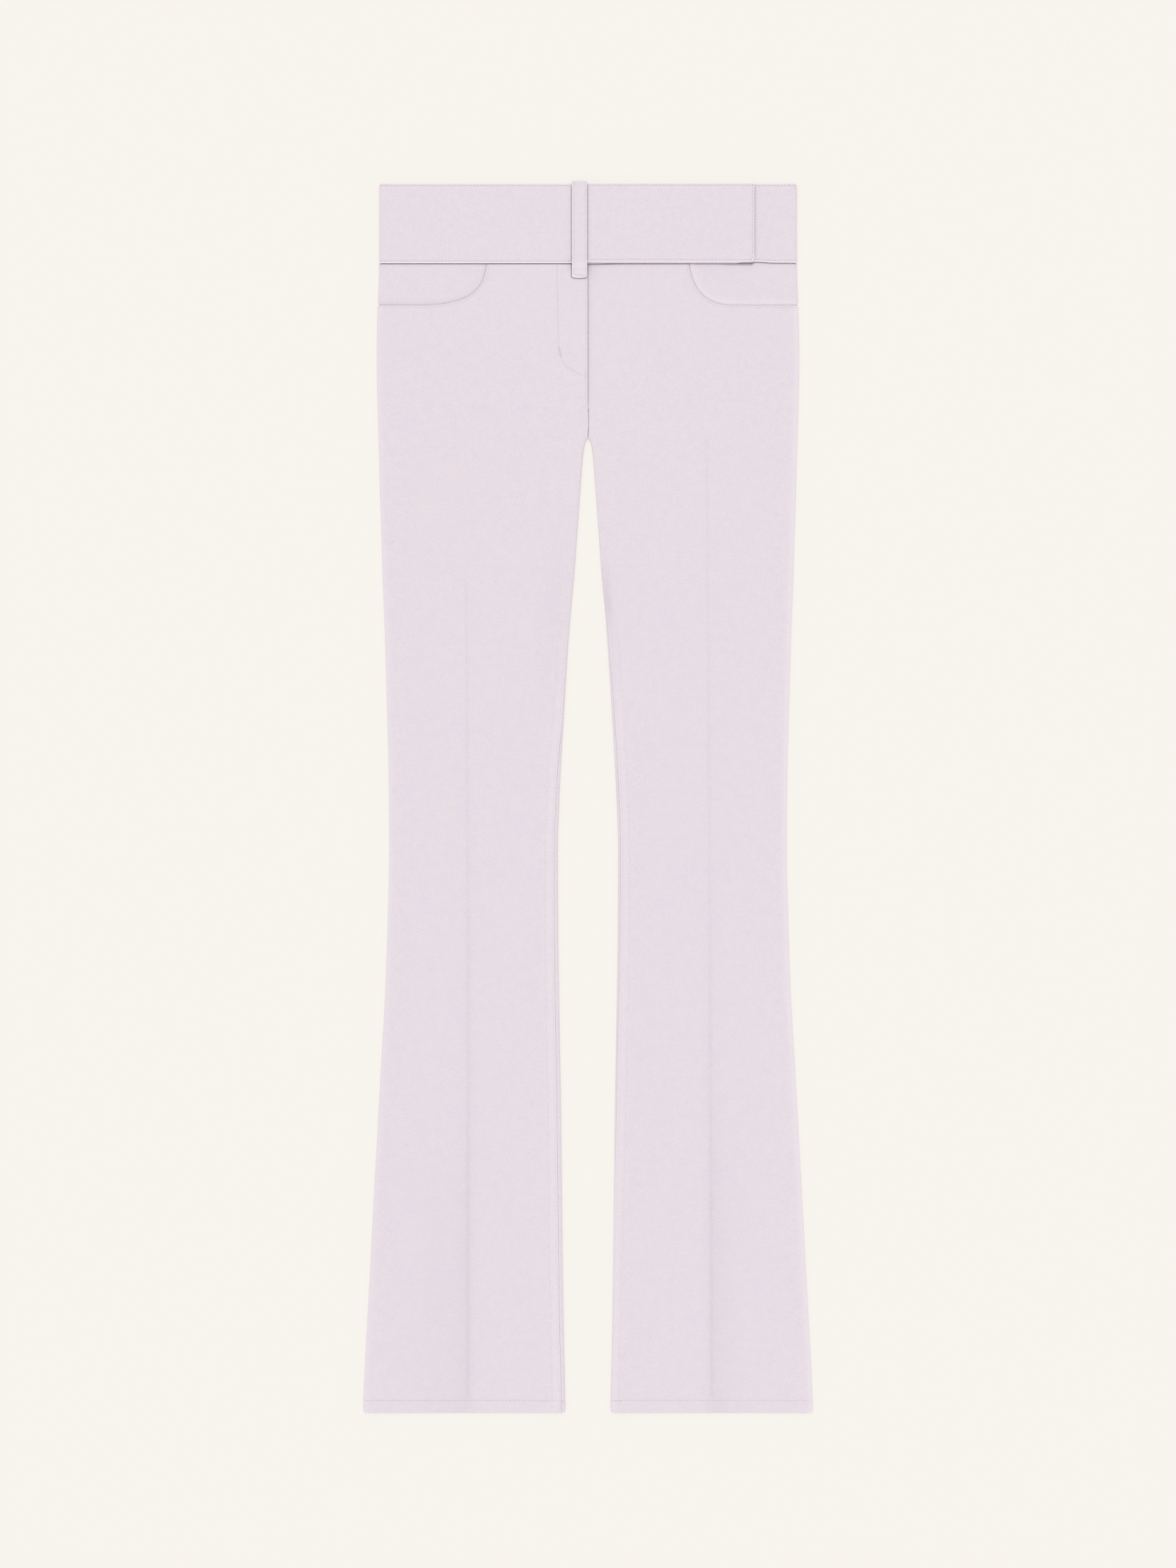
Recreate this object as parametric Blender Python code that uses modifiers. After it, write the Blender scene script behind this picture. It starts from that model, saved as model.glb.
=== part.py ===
"""Bootcut trousers, lying flat with the front up.

Metres, +Z up. +Y runs up the garment to the waist and +X is the wearer's left, so the wearer's right leg
is on the left of someone who looks down at it. The surface that it lies on is z = 0, and the origin is
below the middle of the whole garment. Sizes are written in millimetres and turned to metres when the
cloth is made.

Every cloth piece is a sheet of points halfway through the wall, in rows down the garment and columns
across it, which a Solidify modifier makes into a wall. "down" is the distance below the waistband's top
edge, and "across" is the distance from the centre line towards that side's outer edge.
"""

import math
from collections import namedtuple

import bmesh
import bpy
from mathutils import Vector
from mathutils.geometry import interpolate_bezier

MM = 0.001

# ---- driving dimensions, in millimetres ----
OUTSEAM = 1080.0          # waistband's top edge to the hem
BAND_DEPTH = 69.5         # waistband's top edge to the seam under it
CROTCH = 223.5            # waistband's top edge to the crotch
SADDLE = 206.0            # and to where the centre seams start to open and dip towards it
WALL = 1.3                # panel cloth with its pressed nap and lying creases
FACING_WALL = 1.0         # pocket facing, one thinner layer
BAND_WALL = 2.4           # waistband: two layers and the interfacing
LOOP_WALL = 1.5           # belt loop: cloth folded in three and pressed
SEAM_GAP = 0.3            # between any two pieces
INSEAM_HALF_GAP = 0.27    # the inseam ends on a curve at the crotch, so it is a little wider

ROLL_REACH = 2.4          # how far in from the edge the cloth has rolled over to flat
ROLL_LENGTH = 3.3         # the same quarter of the roll, measured along the cloth
ROLL_MIDDLE = 2.2         # height of a rolled edge's outermost line
LOFT_REACH = 40.0         # how far in from an edge the fold still holds the front up
SIDE_SEAM = 5.5           # the front wraps this far round the side edge, to the seam underneath

FLY_LAP = 8.0             # the left front runs on this far under the right front
FLY_END = 185.0           # the lap starts to run out here
FLY_CLOSED = 203.0        # and is a plain seam from here to the crotch
FLY_TOP_HEIGHT = 4.2      # right front, at the fly's edge
FLY_UNDER_HEIGHT = 2.55   # left front, under it
FLY_REACH = 34.0          # how far from the fly the fronts are back at their own height

POCKET_TOP = 88.5         # across, where the pocket opening leaves the waistband
POCKET_DEPTH = 107.3      # down, where the opening meets the side seam
POCKET_STEEP = (91.5, 95.0)     # the opening starts out towards this point (across, down)
POCKET_FLAT = (104.0, 107.0)    # and comes round from this one
POCKET_LEVEL = 150.0      # across, where it has come round to run level to the side
FACING_INNER = 74.0       # the facing's hidden inner edge
FACING_END = 119.0        # and its hidden lower edge
FACING_SHOWS_TO = 106.9   # down, where the rolled side edge passes from the facing to the front
FACING_ACROSS = (170.0, 120.0, FACING_INNER)   # its columns inside the rolled edge
FACING_HEIGHT = 2.75      # middle of the facing's wall
FACING_TUCK = 178.0       # under the front, the facing stops short of the rolled side edge
FACING_REACH = 1.6        # its own, tighter, rolled edge: reach, and length along the cloth
FACING_LENGTH = 2.1

BAND_EDGE = 184.0         # waistband's half width
BAND_BACK_HEIGHT = 1.2    # middle of the back waistband's wall
BAND_FRONT_HEIGHT = 4.0   # middle of the front waistband's wall
BAND_OVER_HEIGHT = 6.7    # the same where the tab lies over the other side
BAND_REACH = 1.4          # the waistband's rolled side edge: reach, and length along the cloth
BAND_LENGTH = 2.2
TAB_END = 146.5           # the overlap tab's end, past the centre line
TAB_DROP = 0.8            # the tab's lower edge hangs this far below the seam
TAB_CORNER = 5.0          # radius of the tab's lower corner
BAND_SEAM = 4.5           # the front waistbands wrap this far round the side edge
BAND_TOP_CORNER = 1.2     # the side's upper corner is eased off by this much
BAND_ROWS = (0.0, 0.012, 0.04, 0.5, 0.93, 0.96, 0.985, 1.0)   # shares of the depth, down the band
RAMP = (-34.0, -16.0)     # where the waistband climbs onto the other side's end
RAMP_STEPS = 4
UNDER_END = -12.0         # the under waistband's hidden end, past the centre line

LOOP_WIDTH = 14.2
LOOP_MIDDLE = -7.4        # just on the right side of the fly's edge
LOOP_RISE = 2.2           # stands above the waistband's top edge
LOOP_END = 83.2           # down, below the waistband seam
LOOP_OVER_HEIGHT = 8.95   # middle of its wall over the waistband
LOOP_FOOT_HEIGHT = 5.95   # and where it is sewn to the front
LOOP_TURN = 1.45          # radius of its turn over the waistband's top edge
LOOP_TUCK = 0.8           # behind it, the loop ends this far below the middle of the waistband's wall
LOOP_STEP = (80.0, 74.5, 75.5, 68.0)   # down, where it steps from the front up onto the waistband

# Half outlines of one side. Above the crotch the inner edge is the centre line.
Outline = namedtuple("Outline", "down outer inner")
OUTLINE = [
    Outline(69.65, 183.6, 0.0),
    Outline(88.0, 184.1, 0.0),
    Outline(107.0, 184.9, 0.0),
    Outline(125.0, 185.4, 0.0),
    Outline(150.0, 185.7, 0.0),
    Outline(175.0, 185.5, 0.0),
    Outline(FLY_CLOSED, 184.8, 0.0),
    Outline(SADDLE, 184.7, 0.4),
    Outline(CROTCH, 184.1, 0.4),
    Outline(227.3, 184.0, 2.0),
    Outline(232.3, 183.9, 3.4),
    Outline(243.0, 183.6, 4.6),
    Outline(262.0, 183.2, 6.1),
    Outline(300.0, 181.9, 8.8),
    Outline(340.0, 180.7, 11.7),
    Outline(399.0, 178.5, 16.8),
    Outline(461.0, 176.7, 20.7),
    Outline(524.0, 175.1, 24.3),
    Outline(586.0, 174.7, 26.4),
    Outline(648.0, 176.1, 26.2),
    Outline(711.0, 178.2, 25.4),
    Outline(773.0, 181.8, 24.3),
    Outline(835.0, 185.2, 23.4),
    Outline(897.0, 188.6, 22.7),
    Outline(960.0, 191.9, 22.0),
    Outline(1022.0, 195.3, 20.9),
    Outline(1068.0, 197.5, 19.9),
    Outline(1077.0, 197.8, 19.8),
    Outline(OUTSEAM, 196.9, 20.7),
]

# How high the middle of the front's wall lies over the back, and how much more at the folded edges.
Lie = namedtuple("Lie", "down height loft")
LIE = [
    Lie(69.65, 4.1, 0.0),
    Lie(107.0, 4.2, 0.2),
    Lie(125.0, 4.2, 0.3),
    Lie(160.0, 3.6, 0.6),
    Lie(223.5, 3.0, 0.9),
    Lie(400.0, 2.5, 1.3),
    Lie(OUTSEAM, 2.5, 1.3),
]

# The pressed creases, which fade out above the crotch: place across, and height of the ridge.
Crease = namedtuple("Crease", "down right left ridge")
CREASE = [
    Crease(69.65, 108.0, 104.0, 0.0),
    Crease(223.5, 107.5, 104.0, 0.0),
    Crease(262.0, 107.2, 104.0, 0.3),
    Crease(461.0, 106.6, 105.6, 0.6),
    Crease(586.0, 106.0, 106.4, 0.9),
    Crease(773.0, 105.4, 107.2, 1.2),
    Crease(OUTSEAM, 107.2, 108.2, 1.4),
]
CREASE_OUTER_SLOPE = 16.0
CREASE_INNER_SLOPE = 10.0

# Where the inseam lies: its distance along the cloth from the leg's innermost edge, over the top.
Inseam = namedtuple("Inseam", "down right left")
INSEAM = [
    Inseam(CROTCH, 3.7, 3.7),
    Inseam(399.0, 4.2, 4.8),
    Inseam(524.0, 5.2, 4.8),
    Inseam(835.0, 5.8, 4.2),
    Inseam(OUTSEAM, 5.2, 3.8),
]

# How far the inner edge has rolled over: flat down to the saddle, and a full fold from the crotch down.
Roll = namedtuple("Roll", "down share")
ROLL = [Roll(SADDLE, 0.0), Roll(CROTCH, 1.0)]

# Columns, as shares of a rolled edge's quarter turn, as distances along the cloth from the side's
# outermost line or from the inseam, or across from the crease.
ROUND_THE_ROLL = (-1.0, -0.67, -0.33, 0.0, 0.33, 0.67, 1.0)
FRONT_FROM_SIDE = (SEAM_GAP / 2 - SIDE_SEAM, *(share * ROLL_LENGTH for share in ROUND_THE_ROLL), 9.0, 26.0)
FRONT_FROM_CREASE = (CREASE_OUTER_SLOPE, 5.0, 0.0, -3.5, -CREASE_INNER_SLOPE)
FRONT_FROM_INSEAM = (40.0, 12.0, 6.5, 3.4, 1.6, 0.5, INSEAM_HALF_GAP)
BACK_FROM_SIDE = (-SIDE_SEAM - SEAM_GAP / 2, -40.0)
BACK_FROM_INSEAM = (40.0, 12.0, 9.0, 7.0, 5.3, 3.6, 2.0, 0.5, INSEAM_HALF_GAP)

CUTTER_BOTTOM, CUTTER_TOP = -10.0, 20.0   # cutters reach this far below and above the garment
CUTTER_MARGIN = 12.0                      # and this far past its edges

# Lilac-grey cloth.
CLOTH_COLOUR = (0.799, 0.723, 0.775, 1.0)
CLOTH_ROUGHNESS = 0.85

# Places the garment so that the origin is below the middle of its length.
TOP_Y = (OUTSEAM - LOOP_RISE) / 2

RIGHT, LEFT = -1, 1


def along(table, down):
    """The row of a table at this distance down, in straight lines between its own rows."""
    if down <= table[0].down:
        return table[0]
    for above, below in zip(table, table[1:]):
        if down <= below.down:
            share = (down - above.down) / (below.down - above.down)
            return type(above)(*(a + (b - a) * share for a, b in zip(above, below)))
    return table[-1]


def smooth(share):
    """0 to 1, easing out of both ends."""
    share = min(max(share, 0.0), 1.0)
    return share * share * (3 - 2 * share)


def mix(a, b, share):
    return a + (b - a) * share


# ---- the garment's section ----

def rolled(distance, top, middle=ROLL_MIDDLE, bottom=WALL / 2, reach=ROLL_REACH, length=ROLL_LENGTH):
    """A point of a folded edge: how far in it lies and how high. The distance runs along the cloth from
    the outermost line, up over the top, or below zero, down under the bottom."""
    turned = min(abs(distance) / length, 1.0) * math.pi / 2
    past = max(abs(distance) - length, 0.0)
    flat = top if distance > 0 else bottom
    return reach * (1 - math.cos(turned)) + past, mix(middle, flat, math.sin(turned))


def facing_roll(distance):
    middle = (FACING_HEIGHT + FACING_WALL / 2) / 2
    return rolled(distance, FACING_HEIGHT, middle, FACING_WALL / 2, FACING_REACH, FACING_LENGTH)


def band_roll(distance):
    middle = (BAND_BACK_HEIGHT + BAND_FRONT_HEIGHT) / 2
    return rolled(distance, BAND_FRONT_HEIGHT, middle, BAND_BACK_HEIGHT, BAND_REACH, BAND_LENGTH)


def crease_place(down, side):
    row = along(CREASE, down)
    return row.left if side == LEFT else row.right


def front_height(across, down, side):
    """Middle of the front's wall above the surface, away from the rolled edges."""
    outline, lie = along(OUTLINE, down), along(LIE, down)
    rolled_inner = along(ROLL, down).share
    from_side = max(outline.outer - across, 0.0)
    from_inner = max(across - outline.inner, 0.0)
    held_up = max(1 - from_side / LOFT_REACH, 0.0) ** 2
    held_up += rolled_inner * max(1 - from_inner / LOFT_REACH, 0.0) ** 2
    from_crease = across - crease_place(down, side)
    slope = CREASE_OUTER_SLOPE if from_crease > 0 else CREASE_INNER_SLOPE
    ridge = along(CREASE, down).ridge * max(1 - abs(from_crease) / slope, 0.0) ** 2
    height = lie.height + lie.loft * min(held_up, 1.0) + ridge
    at_fly = FLY_TOP_HEIGHT if side == RIGHT else FLY_UNDER_HEIGHT
    return mix(at_fly, height, max(smooth(max(across, 0.0) / FLY_REACH), rolled_inner))


def fly_edge(down, side):
    """Where a front panel ends at the centre: the left one runs on under the right one."""
    if side == RIGHT:
        return 0.0
    return mix(-FLY_LAP, SEAM_GAP / 2, smooth((down - FLY_END) / (FLY_CLOSED - FLY_END)))


def inseam_distance(down, side):
    row = along(INSEAM, down)
    return row.left if side == LEFT else row.right


def front_section(down, side):
    """Points (across, height) of one front panel, from the side seam over to the fly or the inseam."""
    outline, share = along(OUTLINE, down), along(ROLL, down).share
    points = []
    for distance in FRONT_FROM_SIDE:
        inset, _ = rolled(distance, 0.0)
        across = outline.outer - WALL / 2 - inset
        points.append((across, rolled(distance, front_height(across, down, side))[1]))
    for offset in FRONT_FROM_CREASE:
        across = crease_place(down, side) + offset
        points.append((across, front_height(across, down, side)))
    for distance in FRONT_FROM_INSEAM:
        flat = fly_edge(down, side) + outline.inner + distance
        inset, _ = rolled(inseam_distance(down, side) + distance, 0.0)
        folded = outline.inner + SEAM_GAP / 2 + WALL / 2 + inset
        height = front_height(folded, down, side)
        folded_height = rolled(inseam_distance(down, side) + distance, height)[1]
        height = mix(front_height(flat, down, side), folded_height, share)
        points.append((mix(flat, folded, share), height))
    return points


def back_section(down, side):
    """Points (across, height) of one back panel, from the side seam under to the centre seam, or on round
    the inner edge to the inseam."""
    outline, share = along(OUTLINE, down), along(ROLL, down).share
    points = []
    for distance in BACK_FROM_SIDE:
        inset, height = rolled(distance, 0.0)
        points.append((outline.outer - WALL / 2 - inset, height))
    for distance in BACK_FROM_INSEAM:
        from_edge = inseam_distance(down, side) - distance
        inset, _ = rolled(from_edge, 0.0)
        folded = outline.inner + SEAM_GAP / 2 + WALL / 2 + inset
        height = rolled(from_edge, front_height(folded, down, side))[1]
        flat = outline.inner + distance
        points.append((mix(flat, folded, share), mix(WALL / 2, height, share)))
    return points


# ---- making the pieces ----

def cloth_material():
    material = bpy.data.materials.new("lilac_cloth")
    material.use_nodes = True
    shader = material.node_tree.nodes["Principled BSDF"]
    shader.inputs["Base Color"].default_value = CLOTH_COLOUR
    shader.inputs["Roughness"].default_value = CLOTH_ROUGHNESS
    shader.inputs["Metallic"].default_value = 0.0
    material.diffuse_color = CLOTH_COLOUR
    return material


def place(across, down, height):
    """A point of the garment in metres, in the world."""
    return Vector((across, TOP_Y - down, height)) * MM


def add_object(name, mesh, collection):
    piece = bpy.data.objects.new(name, mesh)
    collection.objects.link(piece)
    return piece


def cloth_piece(name, rows, wall, collection, material):
    """A wall of cloth through rows of points (x, down, height)."""
    shape = bmesh.new()
    grid = [[shape.verts.new(place(*point)) for point in row] for row in rows]
    for above, below in zip(grid, grid[1:]):
        for k in range(len(above) - 1):
            shape.faces.new((above[k], below[k], below[k + 1], above[k + 1]))
    bmesh.ops.recalc_face_normals(shape, faces=shape.faces)
    mesh = bpy.data.meshes.new(name)
    shape.to_mesh(mesh)
    shape.free()
    mesh.materials.append(material)
    mesh.shade_smooth()
    mesh.set_sharp_from_angle(angle=math.radians(50))
    piece = add_object(name, mesh, collection)
    thicken = piece.modifiers.new("wall", "SOLIDIFY")
    thicken.thickness = wall * MM
    thicken.offset = 0.0
    thicken.use_even_offset = False
    return piece


def cutter(name, outline, collection):
    """An upright block of this outline (x, down), which cuts right through the garment."""
    shape = bmesh.new()
    face = shape.faces.new([shape.verts.new(place(x, down, CUTTER_BOTTOM)) for x, down in outline])
    grown = bmesh.ops.extrude_face_region(shape, geom=[face])
    moved = [part for part in grown["geom"] if isinstance(part, bmesh.types.BMVert)]
    bmesh.ops.translate(shape, verts=moved, vec=(0, 0, (CUTTER_TOP - CUTTER_BOTTOM) * MM))
    bmesh.ops.recalc_face_normals(shape, faces=shape.faces)
    mesh = bpy.data.meshes.new(name)
    shape.to_mesh(mesh)
    shape.free()
    block = add_object(name, mesh, collection)
    block.hide_render = True
    block.display_type = "WIRE"
    return block


def cut(piece, block):
    boolean = piece.modifiers.new(block.name, "BOOLEAN")
    boolean.operation = "DIFFERENCE"
    boolean.object = block


def side_name(side):
    return "left" if side == LEFT else "right"


def leg_panels(parts, material):
    """The four panels, each a loft through the sections of its leg."""
    fronts = {}
    for side in (RIGHT, LEFT):
        for kind, section in (("front", front_section), ("back", back_section)):
            rows = [
                [(side * across, row.down, height) for across, height in section(row.down, side)]
                for row in OUTLINE
            ]
            piece = cloth_piece(f"{kind}_{side_name(side)}", rows, WALL, parts, material)
            if kind == "front":
                fronts[side] = piece
    return fronts


def pocket_opening(side):
    """Outline of the corner that is cut out of a front panel: down, round and out past the side."""
    bends = ((POCKET_TOP, BAND_DEPTH), POCKET_STEEP, POCKET_FLAT, (POCKET_LEVEL, POCKET_DEPTH))
    curve = interpolate_bezier(*(Vector((*bend, 0.0)) for bend in bends), 13)
    far, above = BAND_EDGE + CUTTER_MARGIN, BAND_DEPTH - CUTTER_MARGIN
    corner = [(far, POCKET_DEPTH), (far, above), (POCKET_TOP, above)]
    return [(side * across, down) for across, down in [(point.x, point.y) for point in curve] + corner]


def facing_tuck(side):
    """Outline of the corner that is cut off a facing, where the front has the rolled side edge."""
    far, low = BAND_EDGE + CUTTER_MARGIN, FACING_END + CUTTER_MARGIN
    corner = [(FACING_TUCK, FACING_SHOWS_TO), (far, FACING_SHOWS_TO), (far, low), (FACING_TUCK, low)]
    return [(side * across, down) for across, down in corner]


def facing_rows(side):
    """Points of a facing: wrapped round the side edge, then flat to its hidden inner edge."""
    rows = []
    for down in (OUTLINE[0].down, OUTLINE[1].down, FACING_SHOWS_TO, FACING_END):
        edge = along(OUTLINE, down).outer - FACING_WALL / 2
        row = []
        for distance in (SEAM_GAP - SIDE_SEAM, *(turn * FACING_LENGTH for turn in ROUND_THE_ROLL)):
            inset, height = facing_roll(distance)
            row.append((side * (edge - inset), down, height))
        row += [(side * across, down, FACING_HEIGHT) for across in FACING_ACROSS]
        rows.append(row)
    return rows


def pockets(fronts, parts, cutters, material):
    """Scooped openings in the fronts, and the facing that lies inside each."""
    for side in (RIGHT, LEFT):
        name = side_name(side)
        cut(fronts[side], cutter(f"pocket_cut_{name}", pocket_opening(side), cutters))
        facing = cloth_piece(f"pocket_facing_{name}", facing_rows(side), FACING_WALL, parts, material)
        cut(facing, cutter(f"facing_cut_{name}", facing_tuck(side), cutters))


def corner_pull(down, bottom, radius):
    """How far a rounded corner of this radius pulls in an edge that ends at the bottom."""
    into = max(down - (bottom - radius), 0.0)
    return radius - math.sqrt(max(radius * radius - into * into, 0.0))


def side_edge(share):
    """The waistband's half width, to the middle of its wall, with the upper corner eased off."""
    eased = BAND_TOP_CORNER * max(1 - share / BAND_ROWS[2], 0.0) ** 2
    return BAND_EDGE - BAND_WALL / 2 - eased


def band_front(share, side, depth):
    """Points of a front waistband's outer end: from its seam underneath, round the side edge to the top."""
    row = []
    for distance in (SEAM_GAP / 2 - BAND_SEAM, *(turn * BAND_LENGTH for turn in ROUND_THE_ROLL)):
        inset, height = band_roll(distance)
        row.append((side * (side_edge(share) - inset), share * depth, height))
    return row


def waistband(parts, material):
    depth = BAND_DEPTH - SEAM_GAP / 2
    over, under, back = [], [], []
    for share in BAND_ROWS:
        # The right front band climbs onto the left one and runs on to the tab's rounded end.
        row = band_front(share, RIGHT, depth)
        for k in range(RAMP_STEPS + 1):
            climbed = smooth(k / RAMP_STEPS)
            height = mix(BAND_FRONT_HEIGHT, BAND_OVER_HEIGHT, climbed)
            low = depth + (TAB_DROP if k == RAMP_STEPS else 0.0)
            row.append((mix(*RAMP, k / RAMP_STEPS), share * low, height))
        low = depth + TAB_DROP
        end = TAB_END - corner_pull(share * low, low, TAB_CORNER)
        row += [(x, share * low, BAND_OVER_HEIGHT) for x in (60.0, TAB_END - 2 * TAB_CORNER, end)]
        over.append(row)
        row = band_front(share, LEFT, depth)
        row += [(x, share * depth, BAND_FRONT_HEIGHT) for x in (90.0, UNDER_END)]
        under.append(row)
        back_end = side_edge(share) - band_roll(-BAND_SEAM - SEAM_GAP / 2)[0]
        back.append([(x, share * depth, BAND_BACK_HEIGHT) for x in (-back_end, 0.0, back_end)])
    cloth_piece("waistband_front_right", over, BAND_WALL, parts, material)
    cloth_piece("waistband_front_left", under, BAND_WALL, parts, material)
    cloth_piece("waistband_back", back, BAND_WALL, parts, material)


def belt_loop(parts, material):
    """A folded strip over the waistband: sewn to the front below it and turned over its top edge."""
    top_line = -LOOP_RISE + LOOP_WALL / 2
    over, foot = LOOP_OVER_HEIGHT, LOOP_FOOT_HEIGHT
    step = [Vector((*bend, 0.0)) for bend in zip(LOOP_STEP, (foot, foot, over + SEAM_GAP / 2, over))]
    route = [Vector((LOOP_END, foot, 0)), *interpolate_bezier(*step, 9), Vector((BAND_DEPTH / 2, over, 0))]
    for k in range(6):
        angle = math.pi / 2 * k / 5
        route.append(Vector((top_line + LOOP_TURN * (1 - math.sin(angle)),
                             over - LOOP_TURN * (1 - math.cos(angle)), 0)))
    route.append(Vector((top_line, BAND_OVER_HEIGHT - LOOP_TUCK, 0)))
    half = LOOP_WIDTH / 2
    rows = [[(LOOP_MIDDLE + x, point.x, point.y) for x in (-half, half)] for point in route]
    cloth_piece("belt_loop", rows, LOOP_WALL, parts, material)


def new_collection(name):
    collection = bpy.data.collections.new(name)
    bpy.context.scene.collection.children.link(collection)
    return collection


def main():
    for old in list(bpy.data.objects):
        bpy.data.objects.remove(old, do_unlink=True)
    parts = new_collection("bootcut_trousers")
    cutters = new_collection("cutters")
    material = cloth_material()
    fronts = leg_panels(parts, material)
    pockets(fronts, parts, cutters, material)
    waistband(parts, material)
    belt_loop(parts, material)


main()
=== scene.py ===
"""Bootcut trousers in lilac-grey gabardine, laid flat with the front up.

Each piece of cloth starts as a flat pattern in millimetres. "down" is the distance below the waistband's top
edge, and "across" is the distance from the centre line towards that side's outer edge, or simply x on the
waistband. The pattern is filled with points and triangles, laid on the garment's form, which folds over at
the side and inner edges, and given the thickness of the cloth. The wearer's right leg is at negative x, on
the left of someone who looks down at the front. "Form" is the middle of the wall of cloth that a piece
stands for.
"""

import math
import random

import bpy
import numpy as np
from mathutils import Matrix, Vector
from mathutils.geometry import delaunay_2d_cdt, interpolate_bezier
from mathutils.kdtree import KDTree

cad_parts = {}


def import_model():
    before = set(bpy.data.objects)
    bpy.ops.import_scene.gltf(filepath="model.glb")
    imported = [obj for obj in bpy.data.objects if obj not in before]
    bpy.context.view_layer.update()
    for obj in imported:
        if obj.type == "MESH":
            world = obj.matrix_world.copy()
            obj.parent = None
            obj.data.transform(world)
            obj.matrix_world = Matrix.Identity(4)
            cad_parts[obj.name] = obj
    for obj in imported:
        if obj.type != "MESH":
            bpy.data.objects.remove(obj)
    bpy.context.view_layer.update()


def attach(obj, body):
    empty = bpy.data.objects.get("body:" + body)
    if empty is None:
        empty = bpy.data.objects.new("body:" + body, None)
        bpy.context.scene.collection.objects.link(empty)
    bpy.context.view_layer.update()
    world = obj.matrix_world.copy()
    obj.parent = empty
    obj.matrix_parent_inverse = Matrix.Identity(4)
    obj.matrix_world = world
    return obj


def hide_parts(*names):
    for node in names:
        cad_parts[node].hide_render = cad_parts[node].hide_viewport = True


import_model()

MM = 0.001
RIGHT, LEFT = -1, 1
SIDES = {RIGHT: "right", LEFT: "left"}

# ---- sizes, in millimetres ----
OUTSEAM = 1080             # waistband's top edge to the hem
TOP_Y = 538.9              # the waistband's top edge lies this far up from the origin
CROTCH = 223.5             # down, where the inner legs part
SADDLE = 213               # where the centre seams start to dip towards the crotch
HALF_WALL = 0.65           # from the form out to the panels' face
CLOTH = 0.85               # one layer of the cloth, with its nap
SEAM_DEPTH = 0.14          # depth of the line along a pressed seam
SEAM_LINE = 0.04           # half the gap along a seam
SEAM_ROUNDING = 0.12       # how far in the cloth has rounded over beside a pressed seam
MID_LEG = 100              # across, between a leg's two folded edges

ROLL_REACH = 2.4           # how far in from a folded edge the cloth has rolled over to flat
ROLL_LENGTH = 3.3          # the same quarter of the roll, measured along the cloth
ROLL_MIDDLE = 2.2          # height of a folded edge's outermost line
LOFT_REACH = 40            # how far in from an edge the fold still holds the front up
SIDE_SEAM = 5.5            # the front wraps this far round the side edge, to the seam underneath

HEM_ROW = 1069             # down, the hem's stitch row
HEM_TURN = 13              # depth of the cloth that is turned up inside the hem
STITCH = 2.8               # stitch length
LOOP_STITCH = 3.1          # on the belt loop
THREAD = 0.33              # the thread's half width where it bulges out of the cloth
HOLE = 0.42                # half width of the dimple at a needle hole
ROW_STEP = 1.6             # from point to point along a straight row or pressed line
CURVE_STEP = 1.2           # and along a curved one


# ---- small tools ----

def nothing(*_):
    return 0


def mix(a, b, share):
    return a + (b - a) * share


def smooth(share):
    """0 to 1, easing out of both ends."""
    share = np.clip(share, 0, 1)
    return share * share * (3 - 2 * share)


def through(*rows):
    """A smooth curve through rows of (down, value), which never overshoots them."""
    knots, values = np.array(rows, float).T
    step = np.diff(knots)
    rise = np.diff(values) / step
    slope = np.concatenate(([rise[0]], np.zeros(len(rise) - 1), [rise[-1]]))
    for k in range(1, len(rise)):
        if rise[k - 1] * rise[k] > 0:
            slope[k] = 2 / (1 / rise[k - 1] + 1 / rise[k])

    def at(down):
        down = np.clip(down, knots[0], knots[-1])
        k = np.clip(np.searchsorted(knots, down, side="right") - 1, 0, len(step) - 1)
        t = (down - knots[k]) / step[k]
        start = (1 + 2 * t) * (1 - t) ** 2 * values[k] + t * (1 - t) ** 2 * step[k] * slope[k]
        end = t * t * (3 - 2 * t) * values[k + 1] + t * t * (t - 1) * step[k] * slope[k + 1]
        return start + end

    return at


def bump(distance, width):
    """1 on a line, fading to nothing about two widths away from it."""
    return np.exp(-(distance / width) ** 2)


def spaced(line, step):
    """Points along a line of pattern points, about this far apart, with both ends."""
    line = np.asarray(line, float)
    run = np.concatenate(([0], np.cumsum(np.linalg.norm(np.diff(line, axis=0), axis=1))))
    at = np.linspace(0, run[-1], max(int(round(run[-1] / step)), 1) + 1)
    return np.column_stack([np.interp(at, run, line[:, 0]), np.interp(at, run, line[:, 1])])


def divided(points, parts):
    """A line whose every straight step is cut into this many parts."""
    steps = np.diff(points, axis=0)[:, None] * (np.arange(parts) / parts)[None, :, None]
    return np.concatenate([(points[:-1, None] + steps).reshape(-1, 2), points[-1:]])


def beside(line, offsets):
    """Copies of a line to both sides of it."""
    step = np.gradient(line, axis=0)
    step /= np.linalg.norm(step, axis=1, keepdims=True)
    aside = np.column_stack([-step[:, 1], step[:, 0]])
    return [line + aside * offset for offset in offsets]


def nearest(spots, points):
    """Which of these spots is nearest to each pattern point, and how far off it is."""
    tree = KDTree(len(spots))
    for k, (x, y) in enumerate(spots):
        tree.insert((x, y, 0), k)
    tree.balance()
    found = [tree.find((x, y, 0)) for x, y in points]
    return np.array([which for _, which, _ in found]), np.array([distance for _, _, distance in found])


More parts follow.
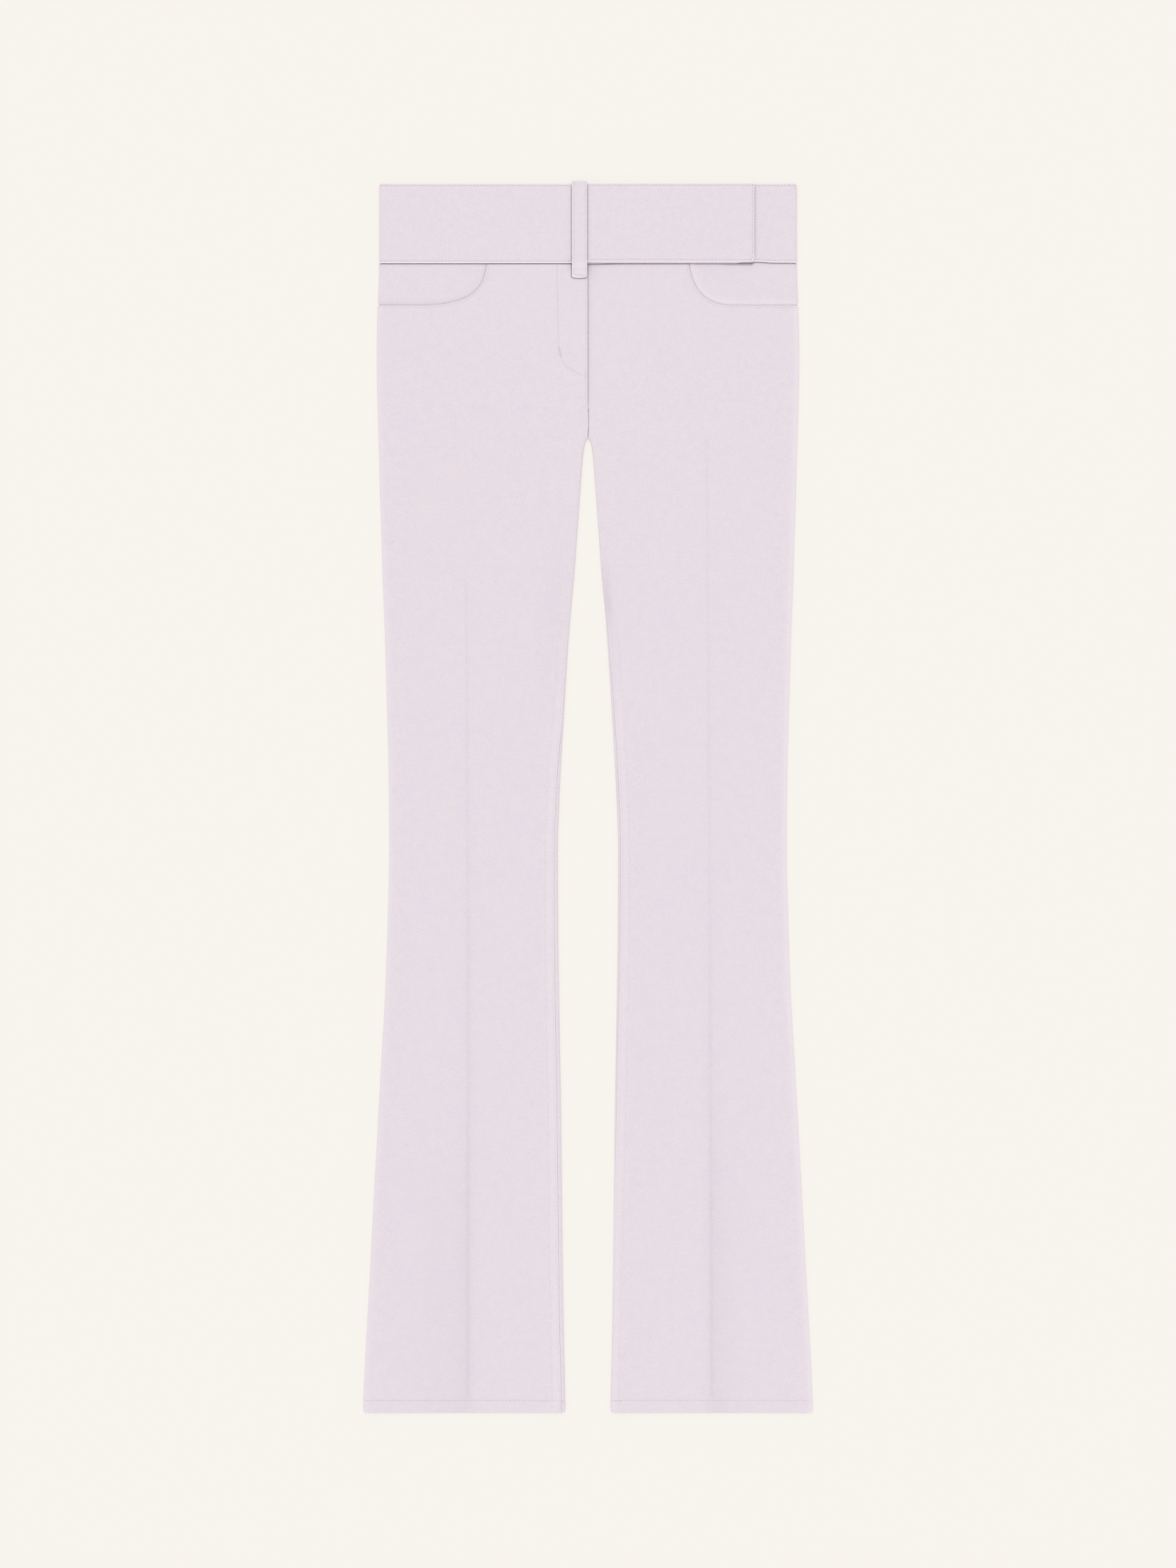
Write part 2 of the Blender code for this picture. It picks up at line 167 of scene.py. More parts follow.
def distance_to(line, points, closed=False):
    """How far each pattern point is from a line of pattern points."""
    near, _ = nearest(line, points)
    least = np.full(len(points), 1e9)
    for shift in (-2, -1, 0, 1):
        k = (near + shift) % len(line) if closed else np.clip(near + shift, 0, len(line) - 2)
        start = line[k]
        step = line[(k + 1) % len(line)] - start
        length = np.maximum((step ** 2).sum(axis=1), 1e-12)
        share = np.clip(((points - start) * step).sum(axis=1) / length, 0, 1)
        off = points - start - step * share[:, None]
        least = np.minimum(least, (off ** 2).sum(axis=1))
    return np.sqrt(least)


def within(outline, points):
    """Which pattern points lie inside a closed outline."""
    x, y = points.T
    inside = np.zeros(len(points), bool)
    for (x0, y0), (x1, y1) in zip(outline, np.roll(outline, -1, axis=0)):
        if y0 != y1:
            inside ^= ((y0 > y) != (y1 > y)) & (x < (x1 - x0) * (y - y0) / (y1 - y0) + x0)
    return inside


def pattern_area(outline):
    x, y = outline.T
    return (x * np.roll(y, -1) - y * np.roll(x, -1)).sum() / 2


# ---- the garment's form ----

# (down, across) of the side edge and of the inner leg.
OUTER = through(
    (69.65, 183.6), (88, 184.1), (107, 184.9), (125, 185.4), (150, 185.7), (175, 185.5),
    (206, 184.7), (243, 183.6), (262, 183.2), (300, 181.9), (340, 180.7), (399, 178.5),
    (461, 176.7), (524, 175.1), (586, 174.7), (648, 176.1), (711, 178.2), (773, 181.8),
    (835, 185.2), (897, 188.6), (960, 191.9), (1022, 195.3), (1068, 197.5), (1077, 197.8),
    (OUTSEAM, 197.4),
)
INNER = through(
    (198, 0), (220.5, 0), (CROTCH, 0.12), (224.3, 0.8), (225.4, 1.5), (227.3, 2.2), (232.3, 3.4),
    (243, 4.6), (262, 6.1), (300, 8.8), (340, 11.7), (399, 16.8), (461, 20.7), (524, 24.3),
    (586, 26.4), (648, 26.2), (711, 25.4), (773, 24.3), (835, 23.4), (897, 22.7),
    (960, 22), (1022, 20.9), (1068, 19.9), (1077, 19.8), (OUTSEAM, 20.1),
)
# (down, height) of the front over the surface below it, and how much higher it is at the folded edges.
LIE = through(
    (69.65, 4.1), (107, 4.2), (125, 4.2), (160, 3.6), (CROTCH, 3), (400, 2.5), (OUTSEAM, 2.5),
)
LOFT = through(
    (69.65, 0), (107, 0.2), (125, 0.3), (160, 0.6), (CROTCH, 0.9), (400, 1.3), (OUTSEAM, 1.3),
)
# How far the inner edge has rolled over into a fold.
FOLDED = through((SADDLE, 0), (218, 0.5), (222.8, 1))

# The pressed creases: (down, across) of the line, and (down, height) of the ridge.
CREASE = {
    RIGHT: through((CROTCH, 107.5), (461, 106.4), (586, 105.9), (773, 105.3), (OUTSEAM, 105.4)),
    LEFT: through((CROTCH, 104), (461, 105.6), (586, 106.4), (773, 107.2), (OUTSEAM, 108.2)),
}
RIDGE = {
    RIGHT: through((262, 0), (349, 0.15), (461, 0.6), (773, 1.2), (OUTSEAM, 1.4)),
    LEFT: through((215, 0), (CROTCH, 0.2), (461, 0.6), (773, 1.2), (OUTSEAM, 1.4)),
}

# Where the inseam lies: its distance along the cloth from the leg's innermost line, over the top. Below zero
# it lies underneath, and comes round to the front below the thigh.
INSEAM = {
    RIGHT: through(
        (CROTCH, 0.3), (243, -2.5), (280, -6), (340, -5), (385, -0.5), (399, 1.4), (461, 1.7),
        (500, 2.7), (524, 3.3), (835, 3.9), (1000, 3.9), (OUTSEAM, 3.7),
    ),
    LEFT: through(
        (CROTCH, 0.3), (243, -2.5), (280, -6), (325, -5), (350, 0), (375, 1.4), (399, 1.7),
        (461, 2.6), (524, 2.7), (650, 2.4), (835, 1.8), (900, 0.6), (960, -0.4), (OUTSEAM, -0.8),
    ),
}

# Soft unevenness where the cloth lies not quite flat: (across, down) of both ends, half width, height.
SOFT_FOLDS = {
    RIGHT: (
        (30, 300, 42, 470, 11, -0.30), (66, 250, 60, 420, 16, 0.28), (140, 190, 128, 430, 15, -0.26),
        (160, 640, 168, 1000, 13, -0.22), (70, 560, 64, 900, 14, 0.22), (138, 820, 152, 1050, 9, 0.20),
        (58, 110, 84, 180, 12, 0.16),
    ),
    LEFT: (
        (24, 330, 34, 430, 7, -0.42), (52, 250, 74, 390, 13, 0.32), (88, 300, 62, 470, 12, -0.28),
        (46, 440, 58, 620, 12, 0.24), (134, 420, 146, 760, 16, 0.22), (84, 640, 78, 960, 13, -0.2),
        (132, 960, 140, 1060, 8, -0.22), (62, 110, 96, 190, 14, -0.16),
    ),
}

# (down, height) of the right front at the fly, and of the left one, which goes under it.
AT_FLY = {
    RIGHT: through((69.65, 4.2), (182, 4.2), (198, 3.75), (212, 3.25), (CROTCH, 3)),
    LEFT: through((69.65, 2.55), (182, 2.6), (198, 2.9), (212, 3.15), (CROTCH, 3)),
}
# Below the fly the centre seam wanders this far from the centre line, to the wearer's left.
CENTRE_WANDER = through((180, 0), (200, 0.3), (212, 0.6), (220, 0.6), (CROTCH, 0.4))
SEAM_SINK = 1.3            # how deep the waistband's seam pulls the front in
FLY_REACH = 34             # how far from the fly the fronts are back at their own height
# The right front ends this far short of the centre line, and the left one runs on this far under it.
FLY_EDGE = {RIGHT: through((190, 0.3), (202, 0)), LEFT: through((182, -8), (198, 0))}


def rolled(distance, top, middle=ROLL_MIDDLE, bottom=HALF_WALL, reach=ROLL_REACH, length=ROLL_LENGTH):
    """A folded edge: how far in a point lies and how high. The distance runs along the cloth from the
    outermost line, up over the top, or below zero, down under the bottom."""
    turned = np.minimum(np.abs(distance) / length, 1) * math.pi / 2
    inset = reach * (1 - np.cos(turned)) + np.maximum(np.abs(distance) - length, 0)
    return inset, mix(middle, np.where(distance > 0, top, bottom), np.sin(turned))


def softness(across, down, side):
    """How much higher the front lies at a point, for the soft folds and a slight overall waviness."""
    total = 0.05 * np.sin(across / 17 + 1.3 * side + np.sin(down / 71)) * np.sin(down / 43 + across / 90)
    for x0, y0, x1, y1, width, height in SOFT_FOLDS[side]:
        step = np.array((x1 - x0, y1 - y0), float)
        share = ((across - x0) * step[0] + (down - y0) * step[1]) / (step @ step)
        beside = ((across - x0) * step[1] - (down - y0) * step[0]) / math.sqrt(step @ step)
        total = total + height * bump(beside, width) * bump(share - 0.5, 0.45)
    return total


def above_hem(down):
    """The creases fade out just above the hem's stitching."""
    return smooth((HEM_ROW - 1 - down) / 5)


def ridge_shape(off):
    """The pressed crease's section: a long slope outwards, a shorter one inwards, and a sharp top."""
    long = np.maximum(1 - np.abs(off) / np.where(off > 0, 15, 9), 0) ** 2
    return 0.8 * long + 0.2 * np.maximum(1 - np.abs(off) / 3, 0) ** 2


def front_height(across, down, side):
    """Height of the front's form, away from the folded edges."""
    folded = FOLDED(down)
    held = np.maximum(1 - np.maximum(OUTER(down) - across, 0) / LOFT_REACH, 0) ** 2
    held = held + folded * np.maximum(1 - np.maximum(across - INNER(down), 0) / LOFT_REACH, 0) ** 2
    height = LIE(down) + LOFT(down) * np.minimum(held, 1) + softness(across, down, side)
    height = height + RIDGE[side](down) * above_hem(down) * ridge_shape(across - CREASE[side](down))
    away = np.maximum(smooth(np.maximum(across, 0) / FLY_REACH), folded)
    height = mix(AT_FLY[side](down), height, away)
    return height - SEAM_SINK * bump(down - BAND_BOTTOM - 0.3, 1.2)


def fly_edge(down, side):
    return CENTRE_WANDER(down) * side + FLY_EDGE[side](down)


def folded_in(down):
    """Across, the place on the flat that a point on the innermost line of a folded leg would have."""
    return INNER(down) + HALF_WALL + ROLL_REACH - ROLL_LENGTH


def front_inner(down, side):
    """Across, the front pattern's inner edge: the fly, or the inseam."""
    return mix(fly_edge(down, side) + INNER(down), folded_in(down) + INSEAM[side](down), FOLDED(down))


def back_inner(down, side):
    """Across, the back pattern's inner edge: the centre back seam, or the inseam."""
    return mix(INNER(down), folded_in(down) - INSEAM[side](down), FOLDED(down))


def side_fold(down):
    """Across, the outermost line of the side edge on the front pattern."""
    return OUTER(down) - HALF_WALL - ROLL_REACH + ROLL_LENGTH


def corner_lift(along_fold, down):
    """The hem is drawn up a little at the folded corners."""
    return 1.5 * smooth((down - 1050) / 30) * np.maximum(1 - np.abs(along_fold) / 4.5, 0) ** 2


def front_form(side):
    def form(across, down):
        folded = FOLDED(down)
        from_side = side_fold(down) - across
        inset, _ = rolled(from_side, 0)
        outer_part = OUTER(down) - HALF_WALL - inset
        outer_height = rolled(from_side, front_height(outer_part, down, side))[1]
        from_seam = across - front_inner(down, side)
        from_fold = INSEAM[side](down) + from_seam
        flat = fly_edge(down, side) + INNER(down) + from_seam
        turned = INNER(down) + HALF_WALL + rolled(from_fold, 0)[0]
        turned_height = rolled(from_fold, front_height(turned, down, side))[1]
        inner_part = mix(flat, turned, folded)
        inner_height = mix(front_height(flat, down, side), turned_height, folded)
        outside = across > MID_LEG
        lift = corner_lift(np.where(outside, from_side, from_fold), down)
        x = np.where(outside, outer_part, inner_part)
        return np.column_stack([side * x, lift - down, np.where(outside, outer_height, inner_height)])

    return form


def back_dent(across, down, side):
    """The back lies on the surface, so its own pressed crease and soft folds are shallow dents upwards."""
    crease = RIDGE[side](down) * 0.16 * bump(across - CREASE[side](down), 1.6)
    soft = 0.10 * np.maximum(np.sin(across / 21 + 2 * side + np.sin(down / 83)) * np.sin(down / 57), 0)
    return crease + soft * smooth(across / 20) * smooth((OUTER(down) - across) / 20)


def back_form(side):
    def form(across, down):
        folded = FOLDED(down)
        from_seam = across - back_inner(down, side)
        from_fold = INSEAM[side](down) - from_seam
        turned = INNER(down) + HALF_WALL + rolled(from_fold, 0)[0]
        height = rolled(from_fold, front_height(turned, down, side))[1]
        x = mix(INNER(down) + from_seam, turned, folded)
        height = mix(HALF_WALL, height, folded) + back_dent(across, down, side)
        return np.column_stack([side * x, corner_lift(from_fold, down) - down, height])

    return form


# ---- the waistband's and the belt loop's form ----

BAND_EDGE = 183.6          # the waistband's half width
BAND_HALF = 1.2            # half its wall: two layers of cloth and the interfacing
BAND_BACK_HEIGHT = 1.2     # its form's height at the back
BAND_FRONT_HEIGHT = 4      # at the front
BAND_OVER_HEIGHT = 6.1     # and where the tab lies over the other side
BAND_REACH = 1.4           # its own folded side edge: reach, and length along the cloth
BAND_LENGTH = 2.2
BAND_SEAM = 4.5            # the front waistbands wrap this far round the side edge
BAND_BOTTOM = 69.75
TAB_END = 146.3            # the overlap tab's end, past the centre line
TAB_RISE = 0.7             # the tab's lower edge ends this far above the band's
# The left waistband is drawn up a little at its seam beside the tab's end.
DRAWN_UP = through((130, 0), (140, 1.2), (152, 1.1), (161, 0.5), (186, 0.4))
RAMP = (-14.5, -3)         # where the waistband climbs onto the other side's end, under the belt loop
UNDER_END = -2             # the under waistband's hidden end

FACING_HALF = 0.5          # half a pocket facing's wall
FACING_REACH = 1.6         # its folded side edge: reach, and length along the cloth
FACING_LENGTH = 2.1

LOOP_WIDTH = 13.4
LOOP_MIDDLE = -7.4         # x
LOOP_HALF = 0.75           # half its wall
LOOP_RISE = 2.2            # stands above the waistband's top edge
LOOP_END = 82.9            # down, its foot's end
LOOP_OVER_HEIGHT = 8.3     # over the waistband
LOOP_FOOT_HEIGHT = 5.75    # on the front panel
LOOP_TURN = 1.45           # radius of its bend over the waistband's top edge
LOOP_STEP = (80, 74.5, 75.5, 68)           # down, the bends of its step off the waistband, from the foot up
LOOP_BEHIND = 0.8          # its end behind lies this much lower than the waistband
LOOP_LEAN = 1.7            # its side over the waistband's lower part lies this much lower


def band_fold(side):
    """x on the band's pattern of the outermost line of its side edge."""
    return side * (BAND_EDGE - BAND_HALF - BAND_REACH + BAND_LENGTH)


def band_waves(x, down):
    return 0.07 * np.sin(x / 23 + 0.6 * np.sin(down / 30)) + 0.05 * np.sin(x / 9.5 + down / 14)


def band_form(side):
    def form(x, down):
        from_side = side * (band_fold(side) - x)
        middle = (BAND_BACK_HEIGHT + BAND_FRONT_HEIGHT) / 2
        top = BAND_FRONT_HEIGHT + band_waves(x, down) * smooth((np.abs(from_side) - 3) / 12)
        if side == RIGHT:
            climbed = smooth((x - RAMP[0]) / (RAMP[1] - RAMP[0]))
            top = mix(top, BAND_OVER_HEIGHT + 0.8 * band_waves(x, down), climbed)
        inset, height = rolled(from_side, top, middle, BAND_BACK_HEIGHT, BAND_REACH, BAND_LENGTH)
        eased = np.maximum(1 - down / 3, 0) ** 2
        edge = BAND_EDGE - BAND_HALF - eased - inset
        return np.column_stack([np.where(from_side < 6, side * edge, x), -down, height])

    return form


def band_back_form(x, down):
    return np.column_stack([x, -down, np.full(len(x), BAND_BACK_HEIGHT)])


def facing_edge(down):
    """Across, the outermost line of a pocket facing, which draws in to go under the front panel."""
    return OUTER(down) - 0.5 - 1.2 * smooth((down - 102.6) / 4)


def facing_fold(down):
    """Across, the same line on the facing's pattern."""
    return facing_edge(down) - FACING_REACH + FACING_LENGTH


def facing_form(side):
    def form(across, down):
        from_side = facing_fold(down) - across
        top = 2.95 + 0.3 * softness(across, down, side)
        inset, height = rolled(from_side, top, 1.7, FACING_HALF, FACING_REACH, FACING_LENGTH)
        x = np.where(from_side < 6, facing_edge(down) - inset, across)
        return np.column_stack([side * x, -down, height])

    return form


def loop_route():
    """Down and height along the belt loop's form, from behind the waistband's top edge to its foot."""
    top_line = -LOOP_RISE + LOOP_HALF
    route = [(top_line, BAND_OVER_HEIGHT - LOOP_BEHIND)]
    for k in range(13):
        angle = math.pi / 2 * (1 - k / 12)
        route.append((top_line + LOOP_TURN * (1 - math.sin(angle)),
                      LOOP_OVER_HEIGHT - LOOP_TURN * (1 - math.cos(angle))))
    heights = (LOOP_FOOT_HEIGHT, LOOP_FOOT_HEIGHT, LOOP_OVER_HEIGHT + 0.15, LOOP_OVER_HEIGHT)
    step = interpolate_bezier(*(Vector((*bend, 0)) for bend in zip(LOOP_STEP, heights)), 30)
    route += [(point.x, point.y) for point in reversed(step)]
    route.append((LOOP_END, LOOP_FOOT_HEIGHT))
    return spaced(route, 0.25)


LOOP_ROUTE = loop_route()
LOOP_RUN = np.linspace(0, np.linalg.norm(np.diff(LOOP_ROUTE, axis=0), axis=1).sum(), len(LOOP_ROUTE))


def loop_form(x, run):
    down = np.interp(run, LOOP_RUN, LOOP_ROUTE[:, 0])
    height = np.interp(run, LOOP_RUN, LOOP_ROUTE[:, 1])
    over_band = smooth((LOOP_STEP[3] - down) / 4) * smooth((down + LOOP_RISE) / 4)
    lower_side = LOOP_LEAN * smooth((LOOP_WIDTH / 2 - 1.5 - x) / (LOOP_WIDTH - 3)) * over_band
    return np.column_stack([LOOP_MIDDLE + x, -down, height - lower_side])


# ---- cutting and laying a piece of cloth ----

class Piece:
    """A piece of cloth: its pattern's outline, the form it is laid on, and its rows of stitches."""

    def __init__(self, name, form, outward, outline, wall=CLOTH, face=HALF_WALL, rounding=0.5, crown=0,
                 tone=nothing, turned_up=nothing, seams=nothing, pitch=STITCH):
        self.name = name
        self.form = form
        self.outward = outward          # 1 or -1: which side of the form faces out
        self.outline = np.asarray(outline, float)
        if pattern_area(self.outline) < 0:
            self.outline = self.outline[::-1]
        self.wall = wall                # thickness
        self.face = face                # from the form to the outer face
        self.rounding = rounding        # how far in from a free edge the face has rounded over
        self.crown = crown              # how much the face swells away from the edges
        self.tone = tone                # how much lighter (+) or darker (-) its colour is painted: painted light and shade
        self.turned_up = turned_up      # extra thickness inside
        self.seams = seams              # 1 where the nearest edge is a pressed seam, 0 where it is free
        self.pitch = pitch              # its stitch length
        self.rows = []                  # stitch rows: (line, depth of the groove, painted shade in its needle holes, painted highlight (+) or shade (-) along the row)
        self.lines = []                 # lines pressed into it: (line, depth, half width, painted shade along it)

    def normals(self, across, down):
        small = 0.04
        by_across = self.form(across + small, down) - self.form(across - small, down)
        by_down = self.form(across, down + small) - self.form(across, down - small)
        normal = np.cross(by_across, by_down) * self.outward
        return normal / np.maximum(np.linalg.norm(normal, axis=1, keepdims=True), 1e-9)

    def grooves(self, points):
        """At each point: how deep stitches and pressed lines pull the face in, the slight puckers beside the
        stitches, and how much painted shade and painted highlight they add to the colour."""
        total = np.zeros(len(points))
        tone = np.zeros(len(points))
        beside = np.full(len(points), 99)
        for line, depth, hole_shade, row_shading in self.rows:
            distance = distance_to(line, points)
            hole = bump(nearest(spaced(line, self.pitch), points)[1], HOLE)
            total += depth * bump(distance, 0.75) + 0.7 * depth * hole
            # Painted shade in the needle holes; along the row, painted highlight where its value is above
            # zero and painted shade below.
            tone += row_shading * bump(distance, 0.7) + hole_shade * hole
            beside = np.minimum(beside, distance)
        for line, depth, width, line_shade in self.lines:
            pressed = bump(distance_to(line, points), width)
            total += depth * pressed
            # Painted shade along each pressed line.
            tone += line_shade * pressed
        along = points.sum(axis=1)
        ripple = 0.05 * np.sin(along * 2 * math.pi / 7.1 + 1.5 * np.sin(along / 19)) * bump(beside, 3.5)
        return total, ripple, tone

    def row_points(self):
        """Extra points for the mesh along its stitch rows and pressed lines."""
        found = []
        for line, *_ in self.rows:
            holes = spaced(line, self.pitch)
            found += beside(divided(holes, 4), (0, 0.5, -0.5)) + beside(divided(holes, 2), (1.1, -1.1))
        for line, _, width, _ in self.lines:
            found += beside(spaced(line, 0.8), (0, width, -width, 2 * width, -2 * width))
        return found

    def outside(self, across, down, above=0):
        """Points on the outer face, or this far above it, in millimetres, and the way out."""
        normal = self.normals(across, down)
        groove, ripple, _ = self.grooves(np.column_stack([across, down]))
        out = self.face - groove + ripple + self.crown + above
        return self.form(across, down) + normal * out[:, None], normal


def world(points):
    """Millimetres in the garment's own places, to metres in the frame."""
    return (np.asarray(points) + (0, TOP_Y, 0)) * MM


def ring(outline, inset):
    """The outline's points, moved in."""
    before = outline - np.roll(outline, 1, axis=0)
    after = np.roll(outline, -1, axis=0) - outline
    before /= np.linalg.norm(before, axis=1, keepdims=True)
    after /= np.linalg.norm(after, axis=1, keepdims=True)
    inward = np.column_stack([-(before + after)[:, 1], (before + after)[:, 0]])
    inward /= np.maximum((inward ** 2).sum(axis=1, keepdims=True) / 2, 0.4)
    return outline + inward * inset


def scattered(groups):
    """The points of all the groups, without those closer to an earlier one than their group's gap."""
    kept = []
    for points, gap in groups:
        cells = {}
        for x, y in kept:
            cells.setdefault((int(x // gap), int(y // gap)), []).append((x, y))
        for x, y in points:
            i, j = int(x // gap), int(y // gap)
            around = [cells.get((u, v), ()) for u in (i - 1, i, i + 1) for v in (j - 1, j, j + 1)]
            if all((x - a) ** 2 + (y - b) ** 2 >= gap * gap for cell in around for a, b in cell):
                kept.append((x, y))
                cells.setdefault((i, j), []).append((x, y))
    return np.array(kept)


def new_object(name, vertices, faces, material):
    mesh = bpy.data.meshes.new(name)
    mesh.from_pydata(vertices, [], faces)
    mesh.materials.append(material)
    mesh.shade_smooth()
    obj = bpy.data.objects.new(name, mesh)
    bpy.context.scene.collection.objects.link(obj)
    return obj


def cut_and_lay(piece, lines, fill, material):
    """The piece as a closed mesh: two faces of cloth that meet round the outline. The lines are extra rows of
    points, for where the cloth turns sharply, and fill is the rest of the pattern."""
    outline = piece.outline
    edge = [(outline, 0.001)]
    for share in (0.14, 0.5, 1):
        inset = share * piece.rounding
        moved = ring(outline, inset)
        moved = np.concatenate([moved, (moved + np.roll(moved, -1, axis=0)) / 2])
        clear = within(outline, moved) & (distance_to(outline, moved, closed=True) > 0.85 * inset)
        edge.append((moved[clear], 0.06 + 0.3 * inset))
    inner = []
    for points, gap in ((np.concatenate(piece.row_points() + lines), 0.42), (fill, 1.25)):
        points = points[within(outline, points)]
        clear = distance_to(outline, points, closed=True) > piece.rounding + 0.35
        inner.append((points[clear], gap))
    pattern = scattered(edge + inner)
    border = list(range(len(outline)))
    flat, _, faces, kept, _, _ = delaunay_2d_cdt([Vector(p) for p in pattern], [], [border], 1, 1e-5)
    points = np.array(flat)
    faces = np.array(faces)
    on_border = np.array([any(k < len(outline) for k in origin) for origin in kept])

    # Seams are pressed nearly flat, and free edges are round.
    near = distance_to(outline, points, closed=True)
    near[on_border] = 0
    across, down = points.T
    seam = piece.seams(across, down)
    share = np.clip(near / mix(piece.rounding, SEAM_ROUNDING, seam), 0, 1)
    half = piece.wall / 2 * np.sqrt(np.maximum(1 - (1 - share) ** 2, 0))
    normal = piece.normals(across, down)
    groove, ripple, sewn_shading = piece.grooves(points)
    crown = piece.crown * smooth(near / 9)
    full = smooth(near / 1.5)
    pressed = (1 - 2 * half / piece.wall) * (piece.wall / 2 - SEAM_DEPTH) * seam
    out = piece.face - piece.wall / 2 + pressed + ripple * full
    middle = piece.form(across, down) + normal * out[:, None]
    top = middle + normal * (half + (crown - groove) * full)[:, None]
    inside = half + piece.turned_up(across, down) * smooth(near / 2)
    bottom = middle - normal * inside[:, None]

    lower = np.cumsum(~on_border) - 1 + len(points)
    lower[on_border] = np.flatnonzero(on_border)
    vertices = world(np.concatenate([top, bottom[~on_border]]))
    upper_faces = faces if piece.outward > 0 else faces[:, ::-1]
    lower_faces = lower[upper_faces[:, ::-1]]
    obj = new_object(f"{piece.name}_cloth", vertices.tolist(),
                     np.concatenate([upper_faces, lower_faces]).tolist(), material)
    tone = np.zeros(len(vertices))
    # The tone attribute: painted light and shade from the piece, its stitches and its pressed lines.
    tone[:len(points)] = piece.tone(across, down, near) + sewn_shading
    obj.data.attributes.new("tone", "FLOAT", "POINT").data.foreach_set("value", tone)
    return obj


# ---- stitches ----

# Sections of a stitch: place along it, size and height, as shares of the thread's half width.
STITCH_SECTIONS = (
    (0, 0.35, -0.75), (0.16, 0.85, 0.15), (0.5, 1, 0.5), (0.84, 0.85, 0.15), (1, 0.35, -0.75),
)
STITCH_SIDES = 6
STITCH_FLATNESS = 0.8


def sewn(name, piece, rows, material, pitch=None, length=0.74, half_width=THREAD, slant=0.16, seed=1):
    """One mesh of all the stitches along these rows: short arched lengths of thread, each sinking into the
    cloth at both ends."""
    dice = random.Random(seed)
    pairs = []
    for row in rows:
        at = spaced(row, pitch or piece.pitch)
        for here, after in zip(at, at[1:]):
            way = after - here
            aside = np.array((-way[1], way[0])) / np.linalg.norm(way)
            shift = dice.uniform(-0.05, 0.05)
            cut = (1 - length) / 2 + dice.uniform(-0.02, 0.02)
            begin = here + way * cut + aside * (shift - slant)
            end = after - way * cut + aside * (shift + slant)
            pairs.append((begin, end))
    pairs = np.array(pairs)
    shares, sizes, heights = np.array(STITCH_SECTIONS).T
    sections = len(shares)
    points = pairs[:, None, 0] + (pairs[:, None, 1] - pairs[:, None, 0]) * shares[None, :, None]
    flat = points.reshape(-1, 2)
    middle, normal = piece.outside(flat[:, 0], flat[:, 1], np.tile(heights * half_width, len(pairs)))
    along = middle.reshape(-1, sections, 3)
    way = np.repeat(along[:, -1] - along[:, 0], sections, axis=0)
    way /= np.linalg.norm(way, axis=1, keepdims=True)
    aside = np.cross(normal, way)[:, None]
    angle = (np.arange(STITCH_SIDES) * 2 * math.pi / STITCH_SIDES)[None, :, None]
    size = (np.tile(sizes, len(pairs)) * half_width)[:, None, None]
    around = np.cos(angle) * aside + STITCH_FLATNESS * np.sin(angle) * normal[:, None]
    vertices = world((middle[:, None] + around * size).reshape(-1, 3))
    faces = []
    for first in range(0, len(vertices), sections * STITCH_SIDES):
        last = first + (sections - 1) * STITCH_SIDES
        for start in range(first, last, STITCH_SIDES):
            for i in range(STITCH_SIDES):
                a, b = start + i, start + (i + 1) % STITCH_SIDES
                faces.append((a, b, b + STITCH_SIDES, a + STITCH_SIDES))
        faces.append(tuple(reversed(range(first, first + STITCH_SIDES))))
        faces.append(tuple(range(last, last + STITCH_SIDES)))
    return new_object(name, vertices.tolist(), faces, material)


# ---- finishes ----

def linear(code):
    """An sRGB hex colour as linear light."""
    parts = [int(code[k:k + 2], 16) / 255 for k in (1, 3, 5)]
    return (*(p / 12.92 if p <= 0.04045 else ((p + 0.055) / 1.055) ** 2.4 for p in parts), 1.0)


def add_node(tree, kind, inputs, **settings):
    """A node with its settings and its inputs: a value, or another node's output socket."""
    node = tree.nodes.new("ShaderNode" + kind)
    for name, value in settings.items():
        setattr(node, name, value)
    for name, value in inputs.items():
        if isinstance(value, bpy.types.NodeSocket):
            tree.links.new(value, node.inputs[name])
        else:
            node.inputs[name].default_value = value
    return node


def new_material(name):
    """An empty material, its node tree and the place on the piece, in metres."""
    material = bpy.data.materials.new(name)
    material.use_nodes = True
    tree = material.node_tree
    tree.nodes.clear()
    return material, tree, add_node(tree, "TexCoord", {}).outputs["Object"]


def set_stops(ramp, stops):
    """Colours of a ramp: (place, sRGB hex)."""
    while len(ramp.color_ramp.elements) < len(stops):
        ramp.color_ramp.elements.new(0.5)
    for element, (place, code) in zip(ramp.color_ramp.elements, stops):
        element.position = place
        element.color = linear(code)


